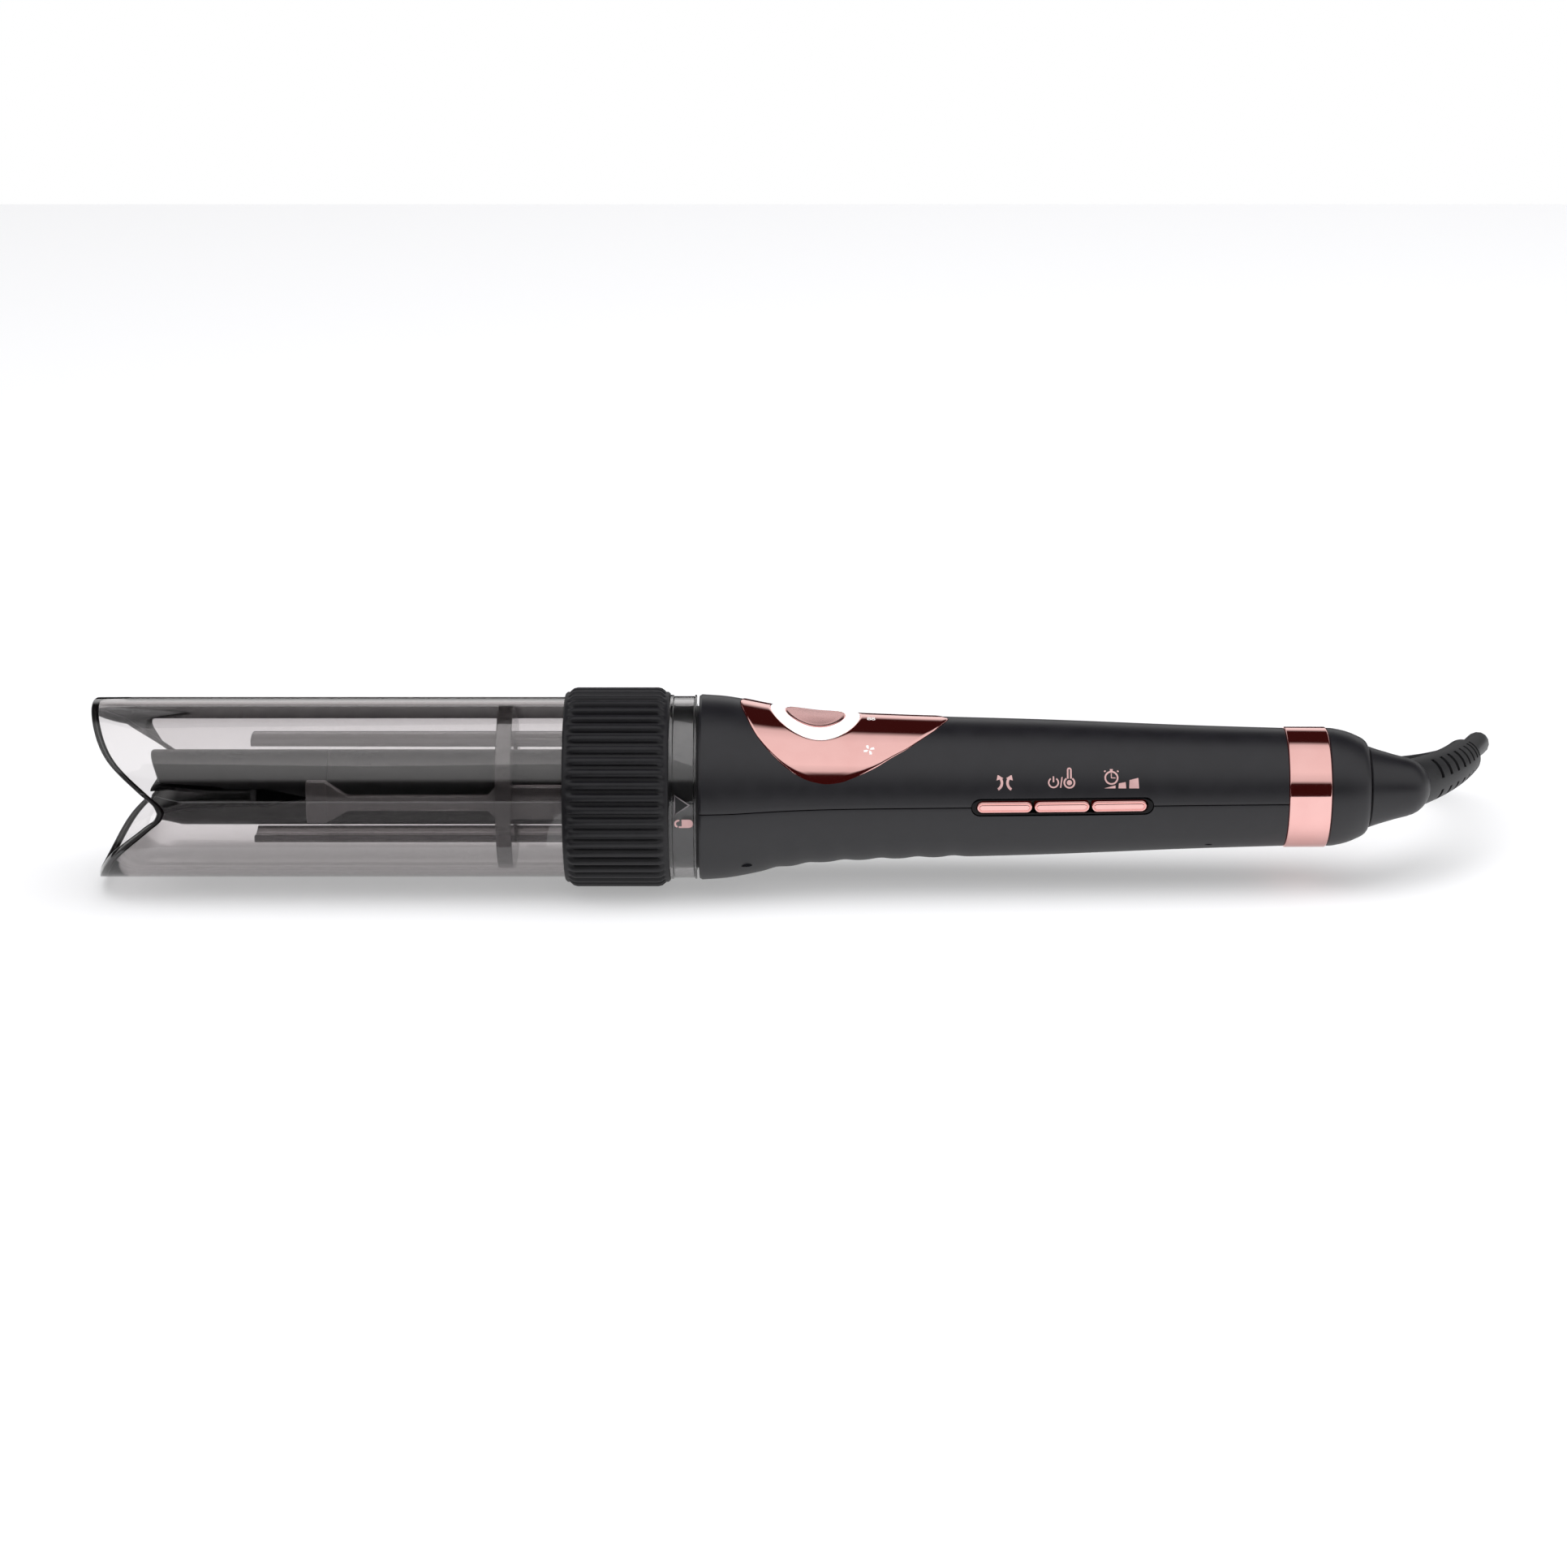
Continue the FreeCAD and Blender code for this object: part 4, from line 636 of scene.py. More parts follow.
def make_tube():
    """Clear tube with its mouth cut to a saddle, and a dark bead of painted shade in the wall at the cut.
    """
    radius = (tube_high.y - tube_low.y) / MM / 2
    wall = 2.2
    rows = [0, 0.06, 0.12, 0.2, 0.3, 0.4, 0.5, 0.6, 0.7, 0.8, 0.9, 0.97, 1.0]

    def place(share, level):
        angle = 360 * share
        start = mouth_station(radius * math.cos(math.radians(angle)))
        station = start + (GRIP_REAR - start) * rows[level]
        return about_axis(station, radius, angle)

    mesh = ring_stack(192, len(rows), place)
    tube = finish_mesh("smoked_tube", mesh, SMOKED, "chamber", sharp=50)
    modified(tube, "SOLIDIFY", thickness=wall * MM, offset=-1.0)
    modified(tube, "BEVEL", width=0.35 * MM, segments=3, limit_method="ANGLE", angle_limit=1.0)
    applied(tube, sharp=50)
    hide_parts("chamber_tube")

    # The bead: a near-black ring inside the wall at the mouth, painted shade for the cut edge's dark look.
    section = 12
    skin = 0.06
    middle = radius - wall / 2
    half_deep, half_thick = 1.0, wall / 2 - skin

    def edge_place(share, level):
        angle = 360 * share
        around = 2 * math.pi * level / section
        start = mouth_station(radius * math.cos(math.radians(angle))) + skin
        station = start + half_deep * (1 - math.cos(around))
        return about_axis(station, middle + half_thick * math.sin(around), angle)

    mesh = ring_stack(192, section, edge_place, loop=True)
    edge = finish_mesh("tube_edge_painted_shade_bead", mesh, TUBE_EDGE_PAINTED_SHADE, "chamber", sharp=60)


def make_grip():
    """Rubber sleeve with round-topped ribs that fade out at both ends."""
    ribs = 50
    per_rib = 8
    root, crest, bore = 26.1, 27.3, 24.75
    length = GRIP_REAR - GRIP_FRONT
    lanes = [(0.25, bore, 0), (0.0, bore + 0.3, 0), (0.0, root - 0.45, 0), (0.5, root, 0),
             (1.1, root, 0), (1.5, root, 0.35), (2.2, root, 0.8), (3.2, root, 1.0)]
    rear = [(length - s, r, h) for s, r, h in reversed(lanes)]
    middle = [(length * share, root, 1.0) for share in (0.25, 0.4, 0.55, 0.7, 0.8)]
    lanes = lanes + middle + rear

    def place(share, level):
        station, radius, height = lanes[level]
        wave = math.cos(2 * math.pi * share * ribs)
        steepness, fullness = 1.1, 0.75
        lift = min(1.0, max(0.0, wave * steepness + fullness)) * (crest - root)
        return about_axis(GRIP_FRONT + station, radius + lift * height, 360 * share)

    mesh = ring_stack(ribs * per_rib, len(lanes), place, loop=True)
    grip = finish_mesh("ribbed_grip", mesh, GRIP_RUBBER, "chamber", sharp=60)
    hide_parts("grip_sleeve")


COLLAR_LAND_R = 24.95


def make_collar():
    """Smoked locking collar with a raised rim at each end."""
    bore, land, rim = 22.7, COLLAR_LAND_R, 25.3
    start, end = GRIP_REAR, COLLAR_REAR
    corners = [(start, bore), (start, rim), (start + 1.0, rim), (start + 1.15, land),
               (end - 0.7, land), (end - 0.55, rim), (end, rim), (end, bore)]
    mesh = lathe(rounded_profile(corners, 0.25))
    collar = finish_mesh("smoked_lock_collar", mesh, SMOKED_COLLAR, "chamber")
    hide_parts("lock_collar")


def make_cage():
    """The clear fork: the CAD shape with its edges rounded so that they catch the light."""
    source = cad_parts["guide_cage"]
    mesh = bmesh.new()
    mesh.from_mesh(source.data)
    bmesh.ops.remove_doubles(mesh, verts=mesh.verts, dist=1e-6)
    bmesh.ops.dissolve_limit(mesh, angle_limit=math.radians(1.0), verts=mesh.verts, edges=mesh.edges)
    cage = finish_mesh("smoked_guide_cage", mesh, SMOKED_CAGE, "chamber", sharp=30)
    modified(cage, "BEVEL", width=0.3 * MM, segments=3, limit_method="ANGLE", angle_limit=0.7)
    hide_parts("guide_cage")


# ---------------------------------------------------------------- barrel
def make_barrel():
    """Coated barrel in two lengths, the front one slotted for the hair."""
    radius, wall = 10.3, 1.2
    bore = radius - wall
    joint_gap = 0.06
    saddle = 4.2

    def sleeve(start, end, rounding):
        corners = [(start, bore), (start, radius), (end, radius), (end, bore)]
        return lathe(rounded_profile(corners, rounding), count=96)

    nose = sleeve(BARREL_FRONT, BARREL_JOINT - joint_gap, 0.35)
    for vertex in nose.verts:
        if vertex.co.x < TIP_X + (BARREL_FRONT + 1) * MM:
            vertex.co.x += saddle * MM * (vertex.co.y / (radius * MM)) ** 2
    front = finish_mesh("barrel_nose", nose, BARREL_FRONT_COAT, "barrel")
    slot = [(-2.0, 4.7), (0.0, 4.7), (2.5, 4.15), (8.0, 3.75), (14.0, 3.4), (19.0, 3.1), (20.3, 2.9),
            (20.9, 2.5), (31.1, 2.5), (36.0, 1.75), (40.0, 1.0), (43.0, 0.35), (44.0, 0.0)]
    outline = [(BARREL_FRONT + s, w) for s, w in slot]
    outline += [(BARREL_FRONT + s, -w) for s, w in reversed(slot[:-1])]
    cut_by(front, crosswise_prism(outline, -14, 14))
    modified(front, "BEVEL", width=0.12 * MM, segments=2, limit_method="ANGLE", angle_limit=0.6)
    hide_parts("barrel_front")

    body = sleeve(BARREL_JOINT + joint_gap, BARREL_REAR, 0.12)
    rear = finish_mesh("barrel_body", body, BARREL_REAR_COAT, "barrel")
    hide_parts("barrel_rear")


def make_hair_lips():
    """Two rounded lips inside the slot that close in from its mouth, joined behind it."""
    start = station_of("slot_guide", 0)
    end = station_of("slot_guide", 1)
    reach = 9.0
    gap_end = end - 1.5
    mesh = bmesh.new()
    wall = 1.0
    rows = [0.0, 0.12, 0.3, 0.45, 0.6, 0.8, 1.0]
    gaps = [2.9, 2.3, 1.9, 1.55, 1.35, 1.35, 1.35]
    columns = 10
    for side in (-1, 1):
        grid = bmesh.ops.create_grid(mesh, x_segments=len(rows) - 1, y_segments=columns, size=1.0)["verts"]
        for vertex in grid:
            row = round((vertex.co.x + 1) / 2 * (len(rows) - 1))
            inner = gaps[row]
            x = TIP_X + (start + (gap_end - start) * rows[row]) * MM
            y = vertex.co.y * math.sqrt(reach ** 2 - inner ** 2)
            vertex.co = Vector((x, y * MM, AXIS_Z + side * inner * MM))
    lips = finish_mesh("hair_slot_lips", mesh, LIP_PLASTIC, "barrel")
    modified(lips, "SOLIDIFY", thickness=wall * MM, offset=0.0, use_even_offset=True)
    modified(lips, "BEVEL", width=0.25 * MM, segments=3, limit_method="ANGLE", angle_limit=0.6)
    web_outline = [(gap_end - 0.4, -2.3), (gap_end - 0.4, 2.3), (end, 2.3), (end, -2.3)]
    web = finish_mesh("hair_slot_web", crosswise_prism(web_outline, -8.6, 8.6), LIP_PLASTIC, "barrel")
    modified(web, "BEVEL", width=0.4 * MM, segments=3, limit_method="ANGLE")
    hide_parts("slot_guide")


# ---------------------------------------------------------------- handle
HANDLE_OUTLINE = [
    (0.0, 25.5), (8.5, 24.8), (21.8, 22.3), (34.0, 20.75), (55.0, 19.7), (96.0, 18.5), (135.0, 16.95),
    (160.0, 16.2),
]
SCALLOPS = [186.4, 195.0, 204.8, 214.8, 225.0, 234.8]
PANEL_FRONT = station_of("top_panel", 0)
PANEL_LENGTH = station_of("top_panel", 1) - PANEL_FRONT
PANEL_SHARES = [
    (0.0, 0.0), (0.006, 0.18), (0.02, 0.36), (0.055, 0.63), (0.109, 0.805), (0.178, 0.923),
    (0.247, 0.982), (0.316, 1.0), (0.413, 0.994), (0.494, 0.967), (0.591, 0.905), (0.66, 0.846),
    (0.797, 0.665), (0.88, 0.49), (0.94, 0.32), (0.98, 0.14), (1.0, 0.0),
]
PANEL_HALF = (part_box("top_panel")[1].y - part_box("top_panel")[0].y) / MM / 2
BUTTON_AT = (station_of("curl_button", 0) + station_of("curl_button", 1)) / 2
RING_R = (station_of("light_ring", 1) - station_of("light_ring", 0)) / 2
BUTTON_R = 8.2
RING_BORE = BUTTON_R + 0.15
PANEL_LIFT = 0.25
BEZEL_FRONT = station_of("button_bezel", 0)
BEZEL_REAR = station_of("button_bezel", 1)


def handle_radius(station):
    return smooth_through(HANDLE_OUTLINE, station - HANDLE_FRONT)


def finger_scallop(station, angle):
    """Depth of the finger grooves underneath, in millimetres."""
    deepest, spread = 0.45, 2.6
    under = max(0.0, math.cos(math.radians((180 - angle) * 0.9))) if angle > 80 else 0.0
    fade = min(1.0, max(0.0, (angle - 100) / 30))
    depth = max(math.exp(-((station - centre) / spread) ** 2) for centre in SCALLOPS)
    return deepest * depth * fade * under


def make_handle_half(name, node, first, last):
    """One half of the handle between two angles, with its wall turned in at the seam."""
    steps = 56
    rows = int(HANDLE_LENGTH * 1.25)
    seam = 0.12
    round_over, round_depth = 0.8, 0.5
    mesh = bmesh.new()
    grid = bmesh.ops.create_grid(mesh, x_segments=rows, y_segments=steps, size=1.0)["verts"]
    for vertex in grid:
        along = (vertex.co.x + 1) / 2
        across = (vertex.co.y + 1) / 2
        station = HANDLE_FRONT + HANDLE_LENGTH * along
        radius = handle_radius(station)
        margin = math.degrees(seam / radius)
        angle = first + margin + (last - first - 2 * margin) * across
        past_front = min(1.0, (station - HANDLE_FRONT) / round_over)
        edge = round_depth * (1 - math.sqrt(max(0.0, 1 - (1 - past_front) ** 2)))
        folded = abs((angle + 180) % 360 - 180)
        vertex.co = about_axis(station, radius - edge - finger_scallop(station, folded), angle)
    bmesh.ops.recalc_face_normals(mesh, faces=mesh.faces)
    middle = max(mesh.faces, key=lambda face: abs(face.calc_center_median().z - AXIS_Z))
    outwards = (middle.calc_center_median().z - AXIS_Z) * middle.normal.z
    if outwards < 0:
        bmesh.ops.reverse_faces(mesh, faces=mesh.faces)
    half = finish_mesh(name, mesh, SOFT_TOUCH, "handle")
    modified(half, "SOLIDIFY", thickness=2.4 * MM, offset=-1.0)
    modified(half, "BEVEL", width=0.28 * MM, segments=3, limit_method="ANGLE", angle_limit=1.0)
    applied(half)
    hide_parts(node)
    return half


def panel_half(along):
    """Half width of the top panel at a share of its length."""
    for before, after in zip(PANEL_SHARES, PANEL_SHARES[1:]):
        if along <= after[0]:
            t = (along - before[0]) / (after[0] - before[0])
            return PANEL_HALF * (before[1] + (after[1] - before[1]) * t)
    return 0.0


def leaf_outline(grow, steps=64):
    """Closed outline of the panel as (station, y), grown by a clearance."""
    near = []
    for step in range(steps + 1):
        along = (1 - math.cos(math.pi * step / steps)) / 2
        near.append((PANEL_FRONT + PANEL_LENGTH * along, smooth_half(along)))
    whole = near + [(s, -y) for s, y in reversed(near[1:-1])]
    middle = PANEL_FRONT + PANEL_LENGTH / 2
    return [
        (middle + (s - middle) * (1 + grow * 2 / PANEL_LENGTH), y * (1 + grow / PANEL_HALF))
        for s, y in whole
    ]


def smooth_half(along):
    """The panel's half width, rounded off between the listed shares."""
    width, sharp_end = 0.012, 0.03
    samples = [panel_half(min(1.0, max(0.0, along + width * k))) for k in (-2, -1, 0, 1, 2)]
    edge = min(1.0, along / sharp_end, (1 - along) / sharp_end)
    return panel_half(along) * (1 - edge) + sum(samples) / len(samples) * edge


def leaf_reach(angle):
    """Distance from the curl button's centre to the panel's edge in a direction."""
    outline = leaf_outline(0.0)
    direction = Vector((math.cos(angle), math.sin(angle)))
    best = 0.0
    for first, second in zip(outline, outline[1:] + outline[:1]):
        a = Vector((first[0] - BUTTON_AT, first[1]))
        b = Vector((second[0] - BUTTON_AT, second[1]))
        run = b - a
        cross = direction.x * run.y - direction.y * run.x
        if abs(cross) < 1e-9:
            continue
        reach = (a.x * run.y - a.y * run.x) / cross
        share = (a.x * direction.y - a.y * direction.x) / cross
        if reach > 0 and -1e-6 <= share <= 1 + 1e-6:
            best = max(best, reach)
    return best


def on_skin(station, y, lift):
    """A point on the handle's skin, lifted off it, above a place in plan."""
    radius = handle_radius(station) + lift
    return Vector((TIP_X + station * MM, y * MM, AXIS_Z + math.sqrt(max(0.01, radius ** 2 - y ** 2)) * MM))


def crown_drop(station, y):
    """How far the top panel falls below the handle's curve towards its long edges."""
    crown_edge, bend = 56.0, 4
    angle = math.degrees(math.asin(min(1.0, abs(y) / handle_radius(station))))
    past = max(0.0, angle - crown_edge)
    return 0.0068 * past ** 2 if past < bend else 0.108 + 0.054 * (past - bend)


def plan_rings(count, rings, drop=lambda station, y: 0.0):
    """Rings about the curl button given as (function of angle to reach, lift)."""
    def place(share, level):
        angle = 2 * math.pi * share
        reach_of, lift = rings[level]
        reach = reach_of(angle)
        station, y = BUTTON_AT + reach * math.cos(angle), reach * math.sin(angle)
        return on_skin(station, y, lift - drop(station, y))

    return ring_stack(count, len(rings), place, loop=True)


def make_top_panel():
    """Metallised leaf-shaped panel round the light ring, with a narrow rolled edge."""
    count = 240
    ring_hole = RING_R + 0.12
    reach_at = [leaf_reach(2 * math.pi * step / count) for step in range(count)]

    def leaf(share_out, inset):
        def reach(angle):
            whole = reach_at[round(angle / (2 * math.pi) * count) % count] - inset
            return ring_hole + (whole - ring_hole) * share_out
        return reach

    rings = [(leaf(0.0, 0.0), -1.1), (leaf(0.0, 0.0), 0.1), (leaf(0.01, 0.0), 0.2)]
    for share in (0.03, 0.1, 0.2, 0.3, 0.4, 0.48, 0.56, 0.64, 0.72, 0.79, 0.86, 0.92, 0.97, 1.0):
        rings.append((leaf(share, 0.3), PANEL_LIFT))
    rings += [(leaf(1.0, 0.1), 0.18), (leaf(1.0, 0.0), 0.03), (leaf(1.0, 0.0), -1.1)]
    mesh = plan_rings(count, rings, crown_drop)
    panel = finish_mesh("rose_gold_top_panel", mesh, ROSE_GOLD, "handle", sharp=40)
    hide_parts("top_panel")


def make_light_ring():
    """Opal ring with a softly rounded crown."""
    section = [(RING_BORE, -1.1), (RING_BORE, 0.2), (RING_BORE + 0.15, 0.38), (RING_BORE + 0.5, 0.48),
               (RING_BORE + 1.3, 0.5), (RING_R - 1.3, 0.5), (RING_R - 0.5, 0.48), (RING_R - 0.12, 0.38),
               (RING_R, 0.2), (RING_R, -1.1)]
    rings = [(lambda angle, radius=radius: radius, lift) for radius, lift in section]
    ring = finish_mesh("opal_light_ring", plan_rings(120, rings), OPAL, "handle", sharp=60)
    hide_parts("light_ring")


def make_curl_button():
    """Dished metallised button: a rolled rim round a hollow for the thumb."""
    radius = BUTTON_R
    rings = [(radius, -2.2), (radius, 0.05), (radius - 0.1, 0.22), (radius - 0.35, 0.33),
             (radius - 0.7, 0.33), (radius - 1.05, 0.2), (5.8, -0.12), (4.2, -0.42), (2.7, -0.62),
             (1.3, -0.7), (0.05, -0.72)]

    def place(share, level):
        reach, lift = rings[level]
        angle = 2 * math.pi * share
        return on_skin(BUTTON_AT + reach * math.cos(angle), reach * math.sin(angle), lift)

    mesh = ring_stack(96, len(rings), place, closed_ends=True)
    button = finish_mesh("curl_button_cap", mesh, SATIN_ROSE, "curl_key", sharp=60)
    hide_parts("curl_button")


def side_point(station, z, lift):
    """A point on the handle's near side, lifted off the skin, at a height about the axis."""
    radius = handle_radius(station) + lift
    return Vector((TIP_X + station * MM, -math.sqrt(max(0.01, radius ** 2 - z ** 2)) * MM, AXIS_Z + z * MM))


def pill_stack(count, rings, centre, **ends):
    """A pill-shaped stack on the near side given as (length, height, lift) rings."""
    def place(share, level):
        length, height, lift = rings[level]
        radius = height / 2
        reach = length / 2 - radius
        angle = 2 * math.pi * share
        side = 1 if math.cos(angle) >= 0 else -1
        station = centre + side * reach + radius * math.cos(angle)
        return side_point(station, radius * math.sin(angle), lift)

    return ring_stack(count, len(rings), place, **ends)


def make_side_controls():
    """Gloss black bezel with three metallised pill buttons, each with an engraved inner line."""
    centre = (BEZEL_FRONT + BEZEL_REAR) / 2
    length = BEZEL_REAR - BEZEL_FRONT
    height = 4.7
    hole_length, hole_height = length - 2.9, 3.4
    rings = [(length, height, -2.2), (length, height, -0.5), (length - 0.15, height - 0.15, -0.34),
             (length - 0.5, height - 0.5, -0.3), (hole_length + 0.3, hole_height + 0.3, -0.32),
             (hole_length, hole_height, -0.5), (hole_length, hole_height, -2.2)]
    mesh = pill_stack(144, rings, centre, loop=True)
    bezel = finish_mesh("gloss_black_bezel", mesh, GLOSS_BLACK, "handle")
    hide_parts("button_bezel")

    for node, body in (("direction_button", "direction_key"), ("temperature_button", "temperature_key"),
                       ("timer_button", "timer_key")):
        middle = (station_of(node, 0) + station_of(node, 1)) / 2
        long, tall = 14.9, 3.1
        rings = [(long, tall, -2.6), (long, tall, -0.45), (long - 0.12, tall - 0.12, -0.22),
                 (long - 0.4, tall - 0.4, -0.1), (long - 0.8, tall - 0.8, -0.12),
                 (long - 1.05, tall - 1.05, -0.34), (long - 1.3, tall - 1.3, -0.34),
                 (long - 1.5, tall - 1.5, -0.16), (long - 1.9, tall - 1.9, -0.11),
                 (long - 2.5, 0.5, -0.1), (long - 2.9, 0.12, -0.1)]
        mesh = pill_stack(96, rings, middle, closed_ends=True)
        key = finish_mesh(node + "_cap", mesh, ROSE_GOLD, body, sharp=50)
        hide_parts(node)


def make_handle():
    """Both halves, with openings for the panel and the side buttons. No recesses are cut for the
    screws underneath, whose heads come through the skin a little at their outer corners."""
    clearance = 0.16
    upper = make_handle_half("soft_touch_upper_shell", "handle_upper_shell", -90, 90)
    lower = make_handle_half("soft_touch_lower_shell", "handle_lower_shell", 90, 270)
    cut_by(upper, upright_prism(leaf_outline(clearance), 4, 40))
    window = stadium_outline((BEZEL_FRONT + BEZEL_REAR) / 2, BEZEL_REAR - BEZEL_FRONT + 0.3, 5.0)
    for half in (upper, lower):
        cut_by(half, crosswise_prism(window, -30, -8))


# ---------------------------------------------------------------- tail
def make_tail():
    """Rose gold band, soft-touch end cap and the turning cone behind it."""
    start, end = station_of("tail_band", 0), station_of("tail_band", 1)
    corners = [(start, 14.0), (start, 16.55), (end, 16.55), (end, 14.0)]
    band = finish_mesh("rose_gold_tail_band", lathe(rounded_profile(corners, 0.45)), ROSE_GOLD, "handle")
    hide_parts("tail_band")

    front = end + 0.1
    rear = CAP_REAR
    spigot = station_of("end_cap", 0)
    profile = [(spigot, 11.8), (spigot, 13.5), (front - 0.05, 13.5), (front - 0.05, 15.9)]
    profile += [(front + 0.3, 16.2), (front + 1.4, 16.18), (rear - 9.0, 16.05), (rear - 7.4, 15.75),
                (rear - 5.8, 15.35),
                (rear - 4.2, 14.8), (rear - 3.0, 14.25), (rear - 2.0, 13.8), (rear - 1.2, 13.35),
                (rear - 0.5, 12.75), (rear - 0.12, 12.2), (rear, 11.8), (rear, 5.3), (rear - 2.2, 5.3),
                (rear - 2.2, 11.6)]
    cap = finish_mesh("soft_touch_end_cap", lathe(profile), SOFT_TOUCH, "handle", sharp=40)
    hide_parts("end_cap")

    cone_length = 17.5
    first = station_of("swivel_cone", 1) - cone_length
    journal = station_of("swivel_cone", 0)
    profile = [(journal, 5.15), (first - 0.05, 5.15), (first, 10.6), (first + 0.15, 10.95)]
    profile += [(first + 0.5, 11.1), (first + 3.0, 10.25), (first + 7.4, 8.95), (first + 11.0, 8.05),
                (first + 12.6, 7.5),
                (first + 14.0, 6.75), (first + 15.3, 5.6), (first + 16.4, 4.2), (first + 17.1, 2.7),
                (first + 17.45, 1.3), (first + 17.5, 0.02)]
    cone_mesh = lathe(profile, loop=False)
    bmesh.ops.holes_fill(cone_mesh, edges=[edge for edge in cone_mesh.edges if edge.is_boundary])
    cone = finish_mesh("swivel_cone_shell", recalculated(cone_mesh), SOFT_TOUCH, "swivel", sharp=40)
    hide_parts("swivel_cone")


# The strain relief starts inside the cone and bends aside along an arc, in the level plane through
# the axis. Its headings are in degrees off the axis, its lengths in millimetres.
RELIEF_BEND = 73.8
RELIEF_START = 357.5
RELIEF_FIRST = 38.0
RELIEF_SWEEP = 28.0
RELIEF_ROOT_R = 6.9
RELIEF_TAPER = 1.7
RELIEF_BASE = math.radians(RELIEF_FIRST)
RELIEF_CENTRE_X = RELIEF_START - RELIEF_BEND * math.sin(RELIEF_BASE)
RELIEF_CENTRE_Y = RELIEF_BEND * math.cos(RELIEF_BASE)


def relief_frame(share):
    """Centre and heading of the strain relief at a share of its length from the cone."""
    angle = math.radians(RELIEF_FIRST + RELIEF_SWEEP * share)
    x = RELIEF_CENTRE_X + RELIEF_BEND * math.sin(angle)
    y = RELIEF_CENTRE_Y - RELIEF_BEND * math.cos(angle)
    return Vector((x, y, 0)), Vector((math.cos(angle), math.sin(angle), 0))


def nearest_share(local):
    """The share along the strain relief nearest to a point, from its angle about the bend."""
    angle = math.degrees(math.atan2(local.x - RELIEF_CENTRE_X, RELIEF_CENTRE_Y - local.y))
    return min(1.0, max(0.0, (angle - RELIEF_FIRST) / RELIEF_SWEEP))


def in_slot(along):
    """Whether a share of the length lies in a flex slot; slots narrow and crowd to the tip."""
    slots, first, reach, crowding = 8, 0.3, 0.66, 1.25
    for number in range(slots):
        centre = first + reach * (1 - (1 - number / (slots - 1)) ** crowding)
        half_width = 0.017 - 0.0008 * number
        if abs(along - centre) < half_width:
            return True
    return False


def make_strain_relief():
    """Tapered strain relief bent aside, with flex slots above and below its mould line."""
    rows = 121
    tip_share, tip_draw = 0.985, 0.1
    slot_low, slot_high, slot_depth = 14, 70, 0.75

    def place(share, level):
        along = level / (rows - 1)
        centre, heading = relief_frame(along)
        radius = RELIEF_ROOT_R - RELIEF_TAPER * along
        angle = 2 * math.pi * share
        side = Vector((heading.y, -heading.x, 0))
        offset = side * math.cos(angle) * radius + Vector((0, 0, math.sin(angle) * radius))
        if along > tip_share:
            offset *= 1 - tip_draw * (along - tip_share) / (1 - tip_share)
        x, y = centre.x + offset.x, centre.y + offset.y
        return Vector((TIP_X + x * MM, y * MM, AXIS_Z + offset.z * MM))

    mesh = ring_stack(96, rows, place, closed_ends=True)
    cut = []
    for face in mesh.faces:
        if len(face.verts) != 4:
            continue
        middle = face.calc_center_median()
        local = Vector(((middle.x - TIP_X) / MM, middle.y / MM, (middle.z - AXIS_Z) / MM))
        along = nearest_share(local)
        height = local.z / (RELIEF_ROOT_R - RELIEF_TAPER * along)
        steepness = abs(math.degrees(math.asin(min(1.0, max(-1.0, height)))))
        if in_slot(along) and slot_low < steepness < slot_high:
            cut.append(face)
    bmesh.ops.inset_region(
        mesh, faces=cut, thickness=0.05 * MM, depth=-slot_depth * MM, use_even_offset=False
    )
    relief = finish_mesh("slotted_strain_relief", mesh, CORD_PVC, "swivel", sharp=50)
    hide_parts("strain_relief")


make_tube()
make_grip()
make_collar()
make_cage()
make_barrel()
make_hair_lips()
make_handle()
make_top_panel()
make_light_ring()
make_curl_button()
make_side_controls()
make_tail()
make_strain_relief()


# ---------------------------------------------------------------- printed marks
def flat_disc(mesh, a, b, radius, hole=0.0, first=0.0, last=360.0, steps=20):
    """A flat disc, ring or arc in the print's own plane, in millimetres."""
    full = abs(last - first) >= 359.9
    spokes = steps if full else steps + 1
    inner = []
    outer = []
    for step in range(spokes):
        angle = math.radians(first + (last - first) * step / steps)
        outer.append(mesh.verts.new((a + radius * math.cos(angle), b + radius * math.sin(angle), 0)))
        if hole > 0:
            inner.append(mesh.verts.new((a + hole * math.cos(angle), b + hole * math.sin(angle), 0)))
    if hole <= 0:
        mesh.faces.new(outer)
        return
    for i in range(spokes if full else spokes - 1):
        j = (i + 1) % spokes
        mesh.faces.new((outer[i], outer[j], inner[j], inner[i]))


def flat_shape(mesh, points):
    mesh.faces.new([mesh.verts.new((a, b, 0)) for a, b in points])


def printed(name, mesh, place, material, body, lift=0.035):
    """Lays a flat mark onto the body: place gives the point for its plane coordinates."""
    bmesh.ops.triangulate(mesh, faces=mesh.faces)
    bmesh.ops.subdivide_edges(mesh, edges=mesh.edges, cuts=1, use_grid_fill=True)
    top = bmesh.ops.extrude_face_region(mesh, geom=list(mesh.faces))["geom"]
    lifted = {item for item in top if isinstance(item, bmesh.types.BMVert)}
    for vertex in mesh.verts:
        vertex.co = place(vertex.co.x, vertex.co.y, lift if vertex in lifted else -0.05)
    finish_mesh(name, recalculated(mesh), material, body)


def on_handle(station, angle):
    def place(a, b, lift):
        where = station + a
        radius = handle_radius(where)
        return about_axis(where, radius + lift, angle - math.degrees(b / radius))
    return place


